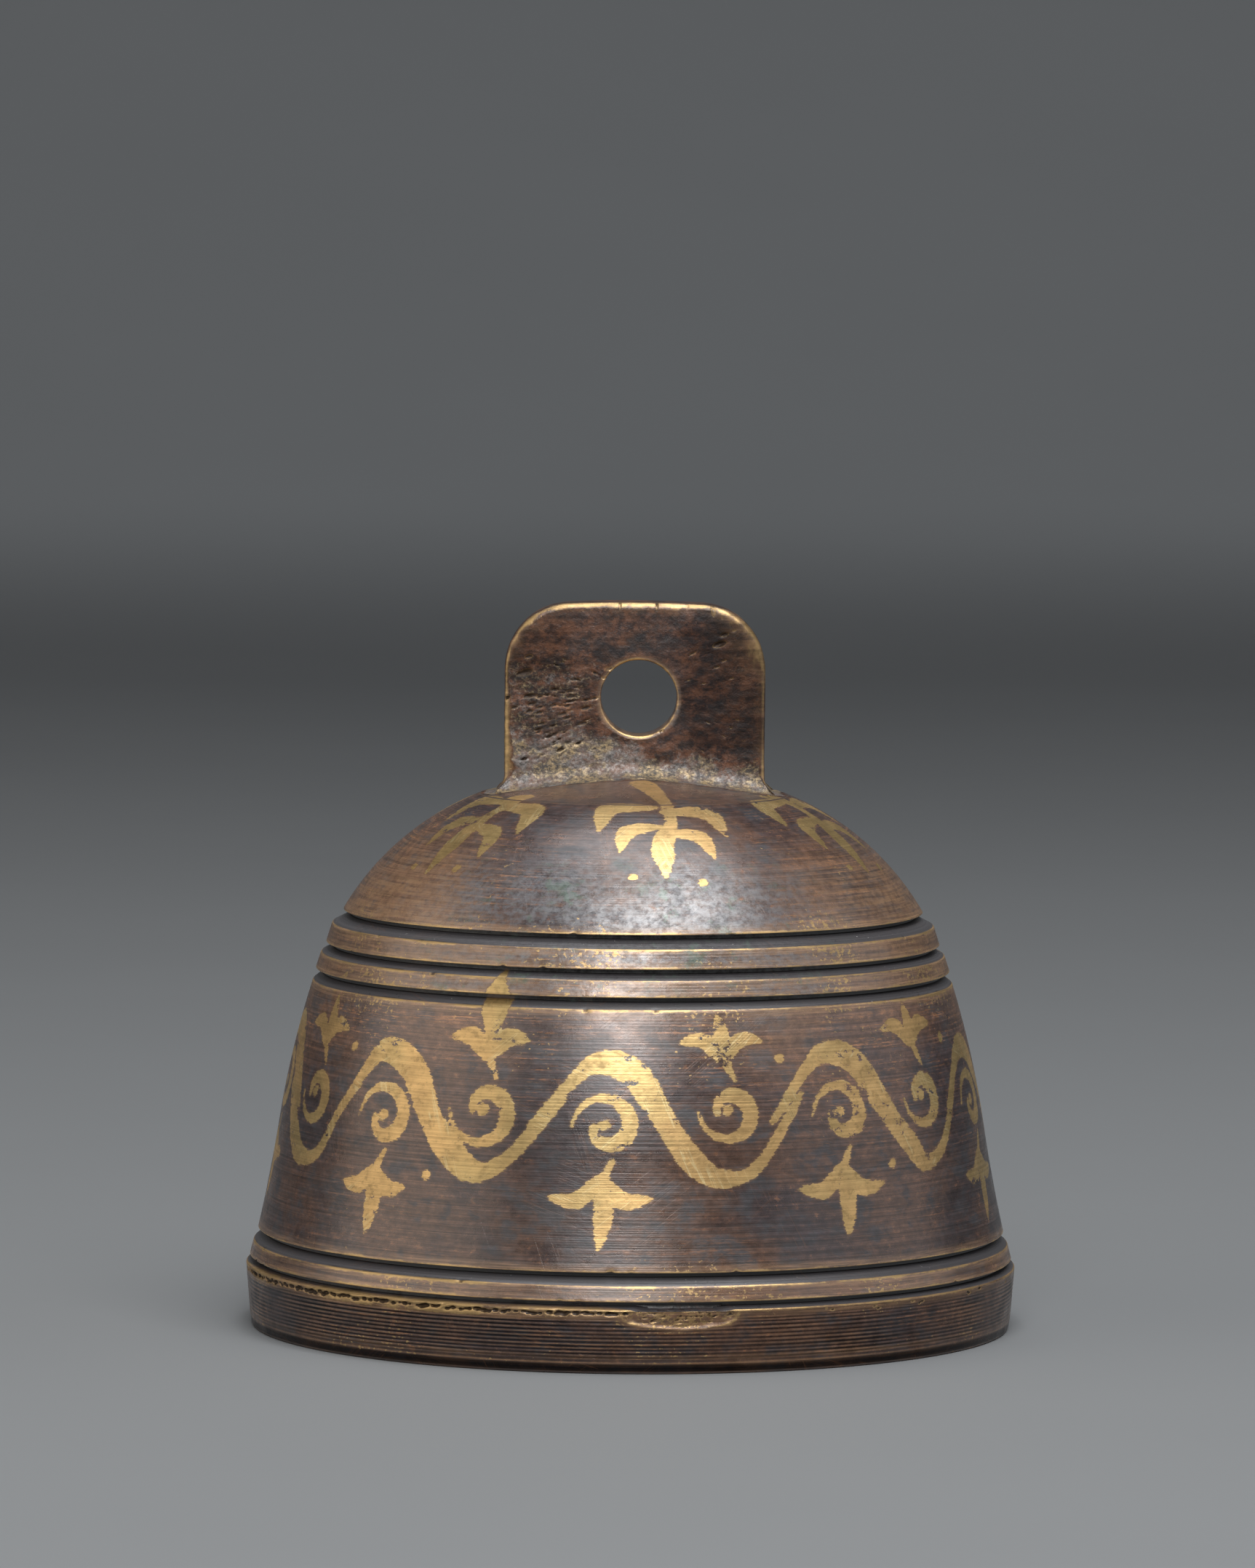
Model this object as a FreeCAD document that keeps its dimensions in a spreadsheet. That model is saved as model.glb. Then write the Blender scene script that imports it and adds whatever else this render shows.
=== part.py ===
import FreeCAD, Part
import os
import Sketcher

# Small cast and turned hanging bell, in millimetres.
# The origin is the middle of the mouth, +Z is up, and the lug's plate lies in the XZ plane.
# The bell's wall is a stack of bands and grooves. Each has a height, and a taper that says
# how much smaller its radius is at its upper end, so a change of one moves all that is above it.

SHEET = "Sizes"

SIZES = (
    ("mouth_diameter", 105.0),
    ("base_taper", 0.8),
    ("base_bevel", 0.4),
    ("lip_height", 8.5),
    ("foot_groove_height", 1.05),
    ("foot_groove_taper", 0.5),
    ("foot_band_height", 1.95),
    ("foot_band_taper", 0.5),
    ("waist_groove_height", 1.75),
    ("waist_groove_taper", 0.6),
    ("flare_height", 15.15),
    ("flare_taper", 2.9),
    ("waist_height", 18.7),
    ("waist_taper", 4.4),
    ("waist_bulge", 0.35),
    ("shoulder_groove_height", 1.65),
    ("shoulder_groove_taper", 0.4),
    ("shoulder_band_height", 2.15),
    ("shoulder_band_taper", 0.7),
    ("neck_groove_height", 1.45),
    ("neck_groove_taper", 0.7),
    ("neck_band_height", 2.55),
    ("neck_band_taper", 0.8),
    ("dome_groove_height", 1.85),
    ("dome_groove_taper", 1.5),
    ("dome_height", 15.9),
    ("dome_bulge", 2.05),
    ("crown_rise", 3.1),
    ("crown_land", 1.4),
    ("groove_depth", 1.0),
    ("groove_root_width", 0.55),
    ("cutter_overrun", 2.0),
    ("lip_wall", 6.6),
    ("waist_wall", 4.4),
    ("crown_wall", 5.75),
    ("mouth_bevel", 1.2),
    ("shoulder_hollow_bulge", 1.9),
    ("boss_diameter", 17.0),
    ("boss_height", 2.6),
    ("boss_flare", 1.4),
    ("lug_height", 23.15),
    ("lug_width", 35.4),
    ("lug_thickness", 7.0),
    ("lug_corner_radius", 9.0),
    ("lug_arch", 0.8),
    ("lug_root_depth", 3.2),
    ("lug_edge_round", 0.9),
    ("lug_foot_fillet", 1.8),
    ("lug_hole_diameter", 10.3),
    ("lug_hole_drop", 13.0),
    ("lug_hole_offset", 0.55),
    ("lug_hole_chamfer", 0.35),
    ("staple_wire", 3.0),
    ("staple_bend_radius", 5.0),
    ("staple_leg_drop", 0.6),
    ("staple_leg_depth", 5.0),
    ("socket_clearance", 0.05),
    ("socket_end_gap", 0.2),
    ("link_wire", 2.4),
    ("link_bend_radius", 3.6),
    ("link_straight", 3.0),
    ("eye_wire", 2.6),
    ("eye_bend_radius", 3.9),
    ("hanging_gap", 0.25),
    ("rod_diameter", 4.2),
    ("rod_neck_diameter", 2.3),
    ("rod_collar_diameter", 6.4),
    ("rod_collar_height", 1.6),
    ("rod_collar_slope", 1.2),
    ("rivet_head_diameter", 6.6),
    ("rivet_head_height", 1.4),
    ("ball_diameter", 20.0),
    ("ball_flat_diameter", 7.6),
    ("ball_bore_clearance", 0.05),
    ("ball_seat_gap", 0.02),
    ("clapper_lift", 2.5),
)

# The stack of the outer wall from the mouth up. The lip widens upwards, so its taper is taken off at the base.
STACK = (
    "foot_groove",
    "foot_band",
    "waist_groove",
    "flare",
    "waist",
    "shoulder_groove",
    "shoulder_band",
    "neck_groove",
    "neck_band",
    "dome_groove",
)

GROOVES = ("foot_groove", "waist_groove", "shoulder_groove", "neck_groove", "dome_groove")

# Two heights or radii closer than this are the same edge, in millimetres.
SAME_PLACE = 0.001

# The bulge of a side that is a half circle between two corners on one level.
HALF_TURN = "half turn"


def size(name):
    """A cell of the sheet, as it is written in an expression."""
    return SHEET + "." + name


def number(expression):
    """What an expression of the sheet's cells comes to."""
    return float(sheet.evalExpression(expression))


def stack_height(name):
    """Height over the mouth of the upper end of one member of the stack."""
    below = STACK[:STACK.index(name) + 1]
    return " + ".join([size("lip_height")] + [size(member + "_height") for member in below])


def stack_radius(name):
    """Outer radius at the upper end of one member of the stack."""
    below = STACK[:STACK.index(name) + 1]
    return size("mouth_diameter") + " / 2 - " + " - ".join(size(member + "_taper") for member in below)


def foot_height(name):
    """Height over the mouth of the lower end of one member of the stack."""
    place = STACK.index(name)
    return stack_height(STACK[place - 1]) if place else size("lip_height")


def foot_radius(name):
    """Outer radius at the lower end of one member of the stack."""
    place = STACK.index(name)
    return stack_radius(STACK[place - 1]) if place else size("mouth_diameter") + " / 2"


def fill_sheet():
    """The driving dimensions, one alias a row."""
    for row, (name, millimetres) in enumerate(SIZES, start=1):
        sheet.set("A%d" % row, name)
        sheet.set("B%d" % row, str(millimetres))
        sheet.setAlias("B%d" % row, name)
    doc.recompute()


def new_body(label):
    """An empty body whose label names the sub-part."""
    body = doc.addObject("PartDesign::Body", label)
    body.Label = label
    return body


def new_sketch(body, name, role, offset=None):
    """A sketch on one of the body's origin planes, moved along the plane's normal by an expression."""
    sketch = body.newObject("Sketcher::SketchObject", name)
    plane = [feature for feature in body.Origin.OriginFeatures if feature.Role == role][0]
    sketch.AttachmentSupport = [(plane, "")]
    sketch.MapMode = "FlatFace"
    if offset:
        sketch.setExpression("AttachmentOffset.Base.z", offset)
    return sketch


def pin_coordinate(sketch, kind, axis, side, end, expression):
    """Fix one coordinate of a side's end: on the axis for zero, else at a signed distance from the origin."""
    place = number(expression)
    if expression == "0":
        sketch.addConstraint(Sketcher.Constraint("PointOnObject", side, end, axis))
    elif place < 0:
        index = sketch.addConstraint(Sketcher.Constraint(kind, side, end, -1, 1, -place))
        sketch.setExpression("Constraints[%d]" % index, "-(%s)" % expression)
    else:
        index = sketch.addConstraint(Sketcher.Constraint(kind, -1, 1, side, end, place))
        sketch.setExpression("Constraints[%d]" % index, expression)


def pin_point(sketch, side, end, corner):
    """Fix the end of a side at a corner, which is a pair of expressions."""
    pin_coordinate(sketch, "DistanceX", -2, side, end, corner[0])
    pin_coordinate(sketch, "DistanceY", -1, side, end, corner[1])


def arc_radius(first, last, bulge):
    """Radius of the arc over a chord, from the height of the arc over it."""
    chord = "(({1[0]}) - ({0[0]}))^2 + (({1[1]}) - ({0[1]}))^2".format(first, last)
    return "(%s) / (8 * (%s)) + (%s) / 2" % (chord, bulge, bulge)


def add_side(sketch, first, last, bulge):
    """One side of an outline and the number of its end at the first corner.

    The bulge is an expression for the height of an arc over its chord, to the right of the way
    from the first corner to the last, or to the left if it starts with a minus sign.
    """
    start = FreeCAD.Vector(number(first[0]), number(first[1]), 0)
    end = FreeCAD.Vector(number(last[0]), number(last[1]), 0)
    if bulge is None:
        return sketch.addGeometry(Part.LineSegment(start, end), False), 1
    along = end - start
    right = FreeCAD.Vector(along.y, -along.x, 0).normalize()
    height = along.Length / 2 if bulge == HALF_TURN else number(bulge)
    middle = (start + end) * 0.5 + right * height
    turns_left = height > 0
    arc = Part.Arc(start, middle, end) if turns_left else Part.Arc(end, middle, start)
    side = sketch.addGeometry(arc, False)
    if bulge == HALF_TURN:
        pin_coordinate(sketch, "DistanceY", -1, side, 3, first[1])
    else:
        radius = arc_radius(first, last, bulge.lstrip("-"))
        index = sketch.addConstraint(Sketcher.Constraint("Radius", side, number(radius)))
        sketch.setExpression("Constraints[%d]" % index, radius)
    return side, (1 if turns_left else 2)


def draw_outline(sketch, corners, bulges=None, closed=True):
    """Sides through the corners in turn, joined end to end. Bulges maps a side's first corner to its bulge."""
    bulges = bulges or {}
    count = len(corners) if closed else len(corners) - 1
    sides = []
    for place in range(count):
        following = corners[(place + 1) % len(corners)]
        sides.append(add_side(sketch, corners[place], following, bulges.get(place)))
    for place in range(count):
        side, first_end = sides[place]
        pin_point(sketch, side, first_end, corners[place])
        if closed or place + 1 < count:
            next_side, next_end = sides[(place + 1) % count]
            sketch.addConstraint(Sketcher.Constraint("Coincident", side, 3 - first_end, next_side, next_end))
    if not closed:
        side, first_end = sides[-1]
        pin_point(sketch, side, 3 - first_end, corners[-1])


def draw_circle(sketch, centre, diameter):
    """A circle at a corner's place, with its diameter bound to an expression."""
    middle = FreeCAD.Vector(number(centre[0]), number(centre[1]), 0)
    circle = sketch.addGeometry(Part.Circle(middle, FreeCAD.Vector(0, 0, 1), number(diameter) / 2), False)
    pin_point(sketch, circle, 3, centre)
    index = sketch.addConstraint(Sketcher.Constraint("Diameter", circle, number(diameter)))
    sketch.setExpression("Constraints[%d]" % index, diameter)


def revolve(body, name, sketch, axis="V_Axis"):
    """A full turn of a sketch about one of its axes, added to the body."""
    turned = body.newObject("PartDesign::Revolution", name)
    turned.Profile = sketch
    turned.ReferenceAxis = (sketch, [axis])
    turned.Angle = 360.0
    doc.recompute()
    return turned


def sweep(body, name, profile, path):
    """The profile carried along the path, added to the body."""
    pipe = body.newObject("PartDesign::AdditivePipe", name)
    pipe.Profile = profile
    pipe.Spine = (path, [])
    doc.recompute()
    return pipe


def must_shrink(before, feature):
    """A cut that points away from the solid takes nothing off, so its volume is compared."""
    if feature.Shape.Volume >= before - SAME_PLACE:
        raise ValueError(feature.Name + " cuts nothing")


def edges_where(feature, test):
    """Names of a feature's edges that pass a test."""
    return ["Edge%d" % (place + 1) for place, edge in enumerate(feature.Shape.Edges) if test(edge)]


def dress(body, kind, name, base, edges, measure, expression):
    """A fillet or chamfer of one size on some edges of the base feature."""
    if not edges:
        raise ValueError(name + " finds no edge")
    feature = body.newObject("PartDesign::" + kind, name)
    feature.Base = (base, edges)
    feature.setExpression(measure, expression)
    doc.recompute()
    return feature


# Levels that several pieces share.
BASE_RADIUS = size("mouth_diameter") + " / 2 - " + size("base_taper")
CROWN_RADIUS = "%s / 2 + %s + %s" % (size("lug_width"), size("lug_foot_fillet"), size("crown_land"))
CROWN_EDGE = "%s + %s" % (stack_height("dome_groove"), size("dome_height"))
CROWN_TOP = "%s + %s" % (CROWN_EDGE, size("crown_rise"))
CROWN_CEILING = "%s - %s" % (CROWN_TOP, size("crown_wall"))
BOSS_FACE = "%s - %s" % (CROWN_CEILING, size("boss_height"))
LUG_TOP = "%s + %s" % (CROWN_TOP, size("lug_height"))

# The staple's lowest point is the axis that the link swings about, and the link's is the clapper's.
STAPLE_AXIS = "%s - %s - %s" % (BOSS_FACE, size("staple_leg_drop"), size("staple_bend_radius"))
LINK_RISE = "%s / 2 + %s / 2 + %s" % (size("staple_wire"), size("link_wire"), size("hanging_gap"))
LINK_LENGTH = "2 * %s + %s" % (size("link_bend_radius"), size("link_straight"))
LINK_AXIS = "%s + %s - (%s)" % (STAPLE_AXIS, LINK_RISE, LINK_LENGTH)
EYE_RISE = "%s / 2 + %s / 2 + %s" % (size("link_wire"), size("eye_wire"), size("hanging_gap"))
EYE_CENTRE = "%s + %s - %s" % (LINK_AXIS, EYE_RISE, size("eye_bend_radius"))
BALL_HALF_HEIGHT = "sqrt(%s^2 - %s^2) / 2" % (size("ball_diameter"), size("ball_flat_diameter"))
BALL_CENTRE = "%s + %s + %s + %s" % (
    size("clapper_lift"), size("rivet_head_height"), size("ball_seat_gap"), BALL_HALF_HEIGHT)


def draw_bell_wall(sketch):
    """Half section of the bell before its grooves are cut: up the outside, and down the inside."""
    flare_wall = "%s - %s" % (stack_radius("flare"), size("waist_wall"))
    waist_wall = "%s - %s" % (stack_radius("waist"), size("waist_wall"))
    dome_wall = "%s - %s" % (stack_radius("dome_groove"), size("waist_wall"))
    shoulder_wall = "%s - %s / 2" % (CROWN_RADIUS, size("crown_wall"))
    boss_root = "%s / 2 + %s" % (size("boss_diameter"), size("boss_flare"))
    inner_mouth = "%s - %s" % (BASE_RADIUS, size("lip_wall"))
    outside = [
        (BASE_RADIUS, "0"),
        (size("mouth_diameter") + " / 2", size("lip_height")),
    ]
    outside += [(stack_radius(member), stack_height(member)) for member in STACK]
    waist_side = len(outside) - len(STACK) + STACK.index("waist") - 1
    dome_side = len(outside) - 1
    outside += [(CROWN_RADIUS, CROWN_EDGE), ("0", CROWN_TOP)]
    inside = [
        ("0", BOSS_FACE),
        (size("boss_diameter") + " / 2", BOSS_FACE),
        (boss_root, CROWN_CEILING),
        (shoulder_wall, "%s - %s" % (CROWN_EDGE, size("crown_wall"))),
        (dome_wall, "%s - %s / 2" % (stack_height("dome_groove"), size("waist_wall"))),
        (waist_wall, stack_height("waist")),
        (flare_wall, stack_height("flare")),
        (inner_mouth, size("lip_height")),
        (inner_mouth, size("mouth_bevel")),
        ("%s + %s" % (inner_mouth, size("mouth_bevel")), "0"),
    ]
    ceiling_side = len(outside) + inside.index((boss_root, CROWN_CEILING))
    draw_outline(sketch, outside + inside, {
        waist_side: size("waist_bulge"),
        dome_side: size("dome_bulge"),
        ceiling_side + 1: "-" + size("shoulder_hollow_bulge"),
    })


def draw_groove(sketch, name):
    """Section of one turned groove: a flat wall under the upper edge, a root, and a slope out to the lower edge."""
    root = "%s - %s" % (stack_radius(name), size("groove_depth"))
    clear = "%s + %s" % (foot_radius(name), size("cutter_overrun"))
    draw_outline(sketch, [
        (root, stack_height(name)),
        (root, "%s - %s" % (stack_height(name), size("groove_root_width"))),
        (foot_radius(name), foot_height(name)),
        (clear, foot_height(name)),
        (clear, stack_height(name)),
    ])


def draw_lug(sketch):
    """Face of the lug: a plate with an arched top, whose root is buried in the crown."""
    left = "-%s / 2" % size("lug_width")
    right = size("lug_width") + " / 2"
    root = "%s - %s" % (CROWN_TOP, size("lug_root_depth"))
    shoulder = "%s - %s" % (LUG_TOP, size("lug_arch"))
    draw_outline(sketch, [(left, root), (right, root), (right, shoulder), (left, shoulder)],
                 {2: size("lug_arch")})


def turn_bell(body):
    """The cast wall, with its foot bevelled and its grooves turned."""
    section = new_sketch(body, "BellSection", "XZ_Plane")
    draw_bell_wall(section)
    feature = revolve(body, "BellWall", section)
    foot = number(BASE_RADIUS)
    outer_foot = edges_where(feature, lambda edge: edge.BoundBox.ZMax < SAME_PLACE
                             and abs(edge.BoundBox.XMax - foot) < SAME_PLACE)
    feature = dress(body, "Chamfer", "FootBevel", feature, outer_foot, "Size", size("base_bevel"))
    for name in GROOVES:
        before = feature.Shape.Volume
        sketch = new_sketch(body, name + "_section", "XZ_Plane")
        draw_groove(sketch, name)
        feature = body.newObject("PartDesign::Groove", name + "_cut")
        feature.Profile = sketch
        feature.ReferenceAxis = (sketch, ["V_Axis"])
        feature.Angle = 360.0
        doc.recompute()
        must_shrink(before, feature)
    return feature


def is_lug_corner(edge):
    """The two edges through the plate at its upper corners."""
    box = edge.BoundBox
    half = number(size("lug_width")) / 2
    shoulder = number(LUG_TOP) - number(size("lug_arch"))
    across = abs(abs(box.Center.x) - half) < SAME_PLACE and box.XLength < SAME_PLACE
    return across and box.ZLength < SAME_PLACE and abs(box.Center.z - shoulder) < SAME_PLACE


def is_lug_rim(edge):
    """The edges of the plate's two faces, down to the crown on both sides."""
    box = edge.BoundBox
    on_face = abs(abs(box.Center.y) - number(size("lug_thickness")) / 2) < SAME_PLACE and box.YLength < SAME_PLACE
    above_crown = box.ZMax > number(CROWN_TOP) + number(size("lug_foot_fillet"))
    return on_face and above_crown and not is_lug_hole(edge)


def is_lug_hole(edge):
    """The round edges of the hole."""
    box = edge.BoundBox
    middle = number(LUG_TOP) - number(size("lug_hole_drop"))
    flat = box.YLength < SAME_PLACE
    return flat and abs(box.Center.z - middle) < SAME_PLACE and box.XLength < number(size("lug_width")) / 2


def is_lug_foot(edge):
    """The edges where the plate runs into the crown."""
    box = edge.BoundBox
    reach = number(CROWN_RADIUS) - SAME_PLACE
    edge_level = number(CROWN_EDGE) + SAME_PLACE
    low = box.ZMax < number(CROWN_TOP) + SAME_PLACE and box.ZMin > edge_level
    outer = max(abs(box.XMax), abs(box.XMin), abs(box.YMax), abs(box.YMin)) < reach
    beside = abs(box.Center.y) > number(size("lug_thickness")) / 4
    at_end = abs(box.Center.x) > number(size("lug_width")) / 4
    return low and outer and (beside or at_end)


def add_lug(body):
    """The lug, cast with the crown, rounded by hand and drilled off its middle."""
    sketch = new_sketch(body, "LugFace", "XZ_Plane")
    draw_lug(sketch)
    feature = body.newObject("PartDesign::Pad", "Lug")
    feature.Profile = sketch
    feature.Midplane = True
    feature.setExpression("Length", size("lug_thickness"))
    doc.recompute()
    corners = edges_where(feature, is_lug_corner)
    feature = dress(body, "Fillet", "LugCorners", feature, corners, "Radius", size("lug_corner_radius"))
    before = feature.Shape.Volume
    hole = new_sketch(body, "LugHoleCircle", "XZ_Plane")
    draw_circle(hole, (size("lug_hole_offset"), "%s - %s" % (LUG_TOP, size("lug_hole_drop"))),
                size("lug_hole_diameter"))
    feature = body.newObject("PartDesign::Pocket", "LugHole")
    feature.Profile = hole
    feature.Midplane = True
    feature.setExpression("Length", "%s + 2 * %s" % (size("lug_thickness"), size("cutter_overrun")))
    doc.recompute()
    must_shrink(before, feature)
    rims = edges_where(feature, is_lug_rim)
    feature = dress(body, "Fillet", "LugRim", feature, rims, "Radius", size("lug_edge_round"))
    feet = edges_where(feature, is_lug_foot)
    feature = dress(body, "Fillet", "LugFoot", feature, feet, "Radius", size("lug_foot_fillet"))
    ends = edges_where(feature, is_lug_hole)
    return dress(body, "Chamfer", "LugHoleRims", feature, ends, "Size", size("lug_hole_chamfer"))


def drill_sockets(body, feature):
    """Two blind sockets in the boss under the crown, for the staple's legs."""
    before = feature.Shape.Volume
    socket = "%s + 2 * %s" % (size("staple_wire"), size("socket_clearance"))
    sketch = new_sketch(body, "SocketCircles", "XY_Plane", BOSS_FACE)
    draw_circle(sketch, ("0", "-" + size("staple_bend_radius")), socket)
    draw_circle(sketch, ("0", size("staple_bend_radius")), socket)
    sockets = body.newObject("PartDesign::Pocket", "StapleSockets")
    sockets.Profile = sketch
    sockets.Reversed = True
    sockets.setExpression("Length", "%s + %s" % (size("staple_leg_depth"), size("socket_end_gap")))
    doc.recompute()
    must_shrink(before, sockets)


def make_bell():
    """The casting: wall, lug and staple boss in one."""
    body = new_body("bell_casting")
    turn_bell(body)
    feature = add_lug(body)
    drill_sockets(body, feature)
    return body


def make_staple():
    """A bent wire in the YZ plane, held by its legs. Its own origin is the middle of its lowest point."""
    body = new_body("clapper_staple")
    bend = size("staple_bend_radius")
    leg_top = "%s + %s + %s" % (bend, size("staple_leg_drop"), size("staple_leg_depth"))
    path = new_sketch(body, "StaplePath", "YZ_Plane")
    draw_outline(path, [("-" + bend, leg_top), ("-" + bend, bend), (bend, bend), (bend, leg_top)],
                 {1: HALF_TURN}, closed=False)
    section = new_sketch(body, "StapleSection", "XY_Plane", leg_top)
    draw_circle(section, ("0", "-" + bend), size("staple_wire"))
    sweep(body, "StapleWire", section, path)
    body.setExpression("Placement.Base.z", STAPLE_AXIS)
    return body


def make_link():
    """A closed oval link in the XZ plane. Its own origin is the axis that it swings about."""
    body = new_body("clapper_link")
    bend = size("link_bend_radius")
    upper = "%s - %s" % (LINK_RISE, bend)
    lower = "%s - %s" % (upper, size("link_straight"))
    path = new_sketch(body, "LinkPath", "XZ_Plane")
    draw_outline(path, [(bend, upper), ("-" + bend, upper), ("-" + bend, lower), (bend, lower)],
                 {0: HALF_TURN, 2: HALF_TURN})
    section = new_sketch(body, "LinkSection", "XY_Plane", upper)
    draw_circle(section, (bend, "0"), size("link_wire"))
    sweep(body, "LinkWire", section, path)
    body.setExpression("Placement.Base.z", STAPLE_AXIS)
    return body


def draw_rod(sketch):
    """Half section of the rod: neck, taper, collar on the ball, shank through it, and riveted end."""
    neck = size("rod_neck_diameter") + " / 2"
    shank = size("rod_diameter") + " / 2"
    collar = size("rod_collar_diameter") + " / 2"
    head = size("rivet_head_diameter") + " / 2"
    neck_top = "-%s" % size("eye_bend_radius")
    collar_foot = "%s + %s + %s - (%s)" % (BALL_CENTRE, BALL_HALF_HEIGHT, size("ball_seat_gap"), EYE_CENTRE)
    collar_top = "%s + %s" % (collar_foot, size("rod_collar_height"))
    slope_top = "%s + %s" % (collar_top, size("rod_collar_slope"))
    head_top = "%s + %s - (%s)" % (size("clapper_lift"), size("rivet_head_height"), EYE_CENTRE)
    head_foot = "%s - (%s)" % (size("clapper_lift"), EYE_CENTRE)
    draw_outline(sketch, [
        ("0", neck_top),
        ("0", head_foot),
        (head, head_top),
        (shank, head_top),
        (shank, collar_foot),
        (collar, collar_foot),
        (collar, collar_top),
        (shank, slope_top),
        (neck, neck_top),
    ], {1: "%s / 3" % size("rivet_head_height")})


def make_rod():
    """Forged rod with a round eye. Its own origin is the middle of the eye."""
    body = new_body("clapper_rod")
    eye = new_sketch(body, "EyeSection", "XZ_Plane")
    draw_circle(eye, ("0", size("eye_bend_radius")), size("eye_wire"))
    revolve(body, "Eye", eye, "H_Axis")
    section = new_sketch(body, "RodSection", "XZ_Plane")
    draw_rod(section)
    revolve(body, "Rod", section)
    body.setExpression("Placement.Base.z", EYE_CENTRE)
    return body


def make_ball():
    """Turned ball with a flat at each end of its bore. Its own origin is its middle."""
    body = new_body("clapper_ball")
    bore = "%s / 2 + %s" % (size("rod_diameter"), size("ball_bore_clearance"))
    flat = size("ball_flat_diameter") + " / 2"
    lower = "-(%s)" % BALL_HALF_HEIGHT
    section = new_sketch(body, "BallSection", "XZ_Plane")
    draw_outline(section, [(bore, lower), (flat, lower), (flat, BALL_HALF_HEIGHT), (bore, BALL_HALF_HEIGHT)],
                 {1: "(%s - %s) / 2" % (size("ball_diameter"), size("ball_flat_diameter"))})
    revolve(body, "Ball", section)
    body.setExpression("Placement.Base.z", BALL_CENTRE)
    return body


def check_model():
    """Nothing may be left failed, and each sub-part must be one valid solid."""
    doc.recompute()
    for item in doc.Objects:
        if "Invalid" in item.State or "Error" in item.State:
            raise ValueError(item.Name + " is " + ", ".join(item.State))
    for body in bodies:
        if body.Shape.isNull() or not body.Shape.isValid() or len(body.Shape.Solids) != 1:
            raise ValueError(body.Label + " isn't one valid solid")


def write_steps():
    """One file for each sub-part, named by its label."""
    os.makedirs("parts", exist_ok=True)
    for body in bodies:
        body.Shape.exportStep("parts/" + body.Label + ".step")
        box = body.Shape.BoundBox
        print("%-16s volume %9.1f mm3, z %6.2f to %6.2f, x %6.2f to %6.2f" % (
            body.Label, body.Shape.Volume, box.ZMin, box.ZMax, box.XMin, box.XMax))


doc = FreeCAD.newDocument("HangingBell")
sheet = doc.addObject("Spreadsheet::Sheet", SHEET)
fill_sheet()
bodies = [make_bell(), make_staple(), make_link(), make_rod(), make_ball()]
check_model()
write_steps()
print("link swings about Y at z = %.3f, clapper swings about X at z = %.3f" % (
    number(STAPLE_AXIS), number(LINK_AXIS)))
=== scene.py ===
# %% [markdown]
# A small hanging bell, cast in brass, turned on a lathe and darkened with a patina.
# This lesson dresses a finished CAD model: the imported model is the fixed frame, and every piece
# made here takes its place in that frame. Lengths are in millimetres until a mesh is written,
# because a founder thinks in millimetres, and Blender's metres are reached by one factor.

# %% Load the fixed frame
import bpy
import numpy as np
from mathutils import Matrix, Vector


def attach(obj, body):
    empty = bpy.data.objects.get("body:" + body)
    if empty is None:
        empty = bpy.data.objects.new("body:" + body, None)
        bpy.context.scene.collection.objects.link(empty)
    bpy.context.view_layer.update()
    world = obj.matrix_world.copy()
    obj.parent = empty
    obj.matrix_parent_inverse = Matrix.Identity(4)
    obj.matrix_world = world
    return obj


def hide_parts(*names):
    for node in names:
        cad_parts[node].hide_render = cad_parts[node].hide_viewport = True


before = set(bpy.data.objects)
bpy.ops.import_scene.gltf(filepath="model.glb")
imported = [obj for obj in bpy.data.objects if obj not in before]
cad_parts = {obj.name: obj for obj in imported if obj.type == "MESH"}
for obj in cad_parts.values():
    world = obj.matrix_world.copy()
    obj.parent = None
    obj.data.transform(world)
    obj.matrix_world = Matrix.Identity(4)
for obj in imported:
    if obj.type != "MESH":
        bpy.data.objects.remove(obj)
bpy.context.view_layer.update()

MM = 0.001


def add_object(name, data):
    """A new object in the scene."""
    made = bpy.data.objects.new(name, data)
    bpy.context.scene.collection.objects.link(made)
    return made


# %% [markdown]
# The camera comes first, because all looks are judged through it. The view is that of a long
# portrait lens a little above the table: the ellipses of the turned rings give its height and
# tilt, and their slant gives the small roll. A camera could be aimed with a constraint, but
# three plain turns are easier to read and to change.

# %% Camera at the photograph's view
CAMERA_SIDE = -0.9
CAMERA_DISTANCE = 1200.0
CAMERA_HEIGHT = 158.7
CAMERA_TILT = 4.04
CAMERA_ROLL = 0.43
LENS_LENGTH = 202.6
SENSOR_SIDE = 36.0

lens = bpy.data.cameras.new("portrait_lens")
lens.sensor_fit = "VERTICAL"
lens.sensor_height = SENSOR_SIDE
lens.lens = LENS_LENGTH
lens.clip_start = 0.05
lens.clip_end = 30.0
camera = add_object("camera", lens)
tilt, roll = np.radians(90.0 - CAMERA_TILT), np.radians(CAMERA_ROLL)
aim = Matrix.Rotation(tilt, 4, "X") @ Matrix.Rotation(roll, 4, "Z")
place = Matrix.Translation(Vector((CAMERA_SIDE, -CAMERA_DISTANCE, CAMERA_HEIGHT)) * MM)
camera.matrix_world = place @ aim
bpy.context.scene.camera = camera
print("camera at", [round(v, 4) for v in camera.location])

# %% [markdown]
# Noise is what separates a cast surface from a computed one. The same cloud of random values
# serves for sand-cast grain, for hammer marks and for the uneven wear of edges: only its cell
# size changes. It is worked out here rather than by a modifier, so that the shape and the
# colour can read the same number.

# %% Noise helpers
LATTICE = 32


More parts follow.
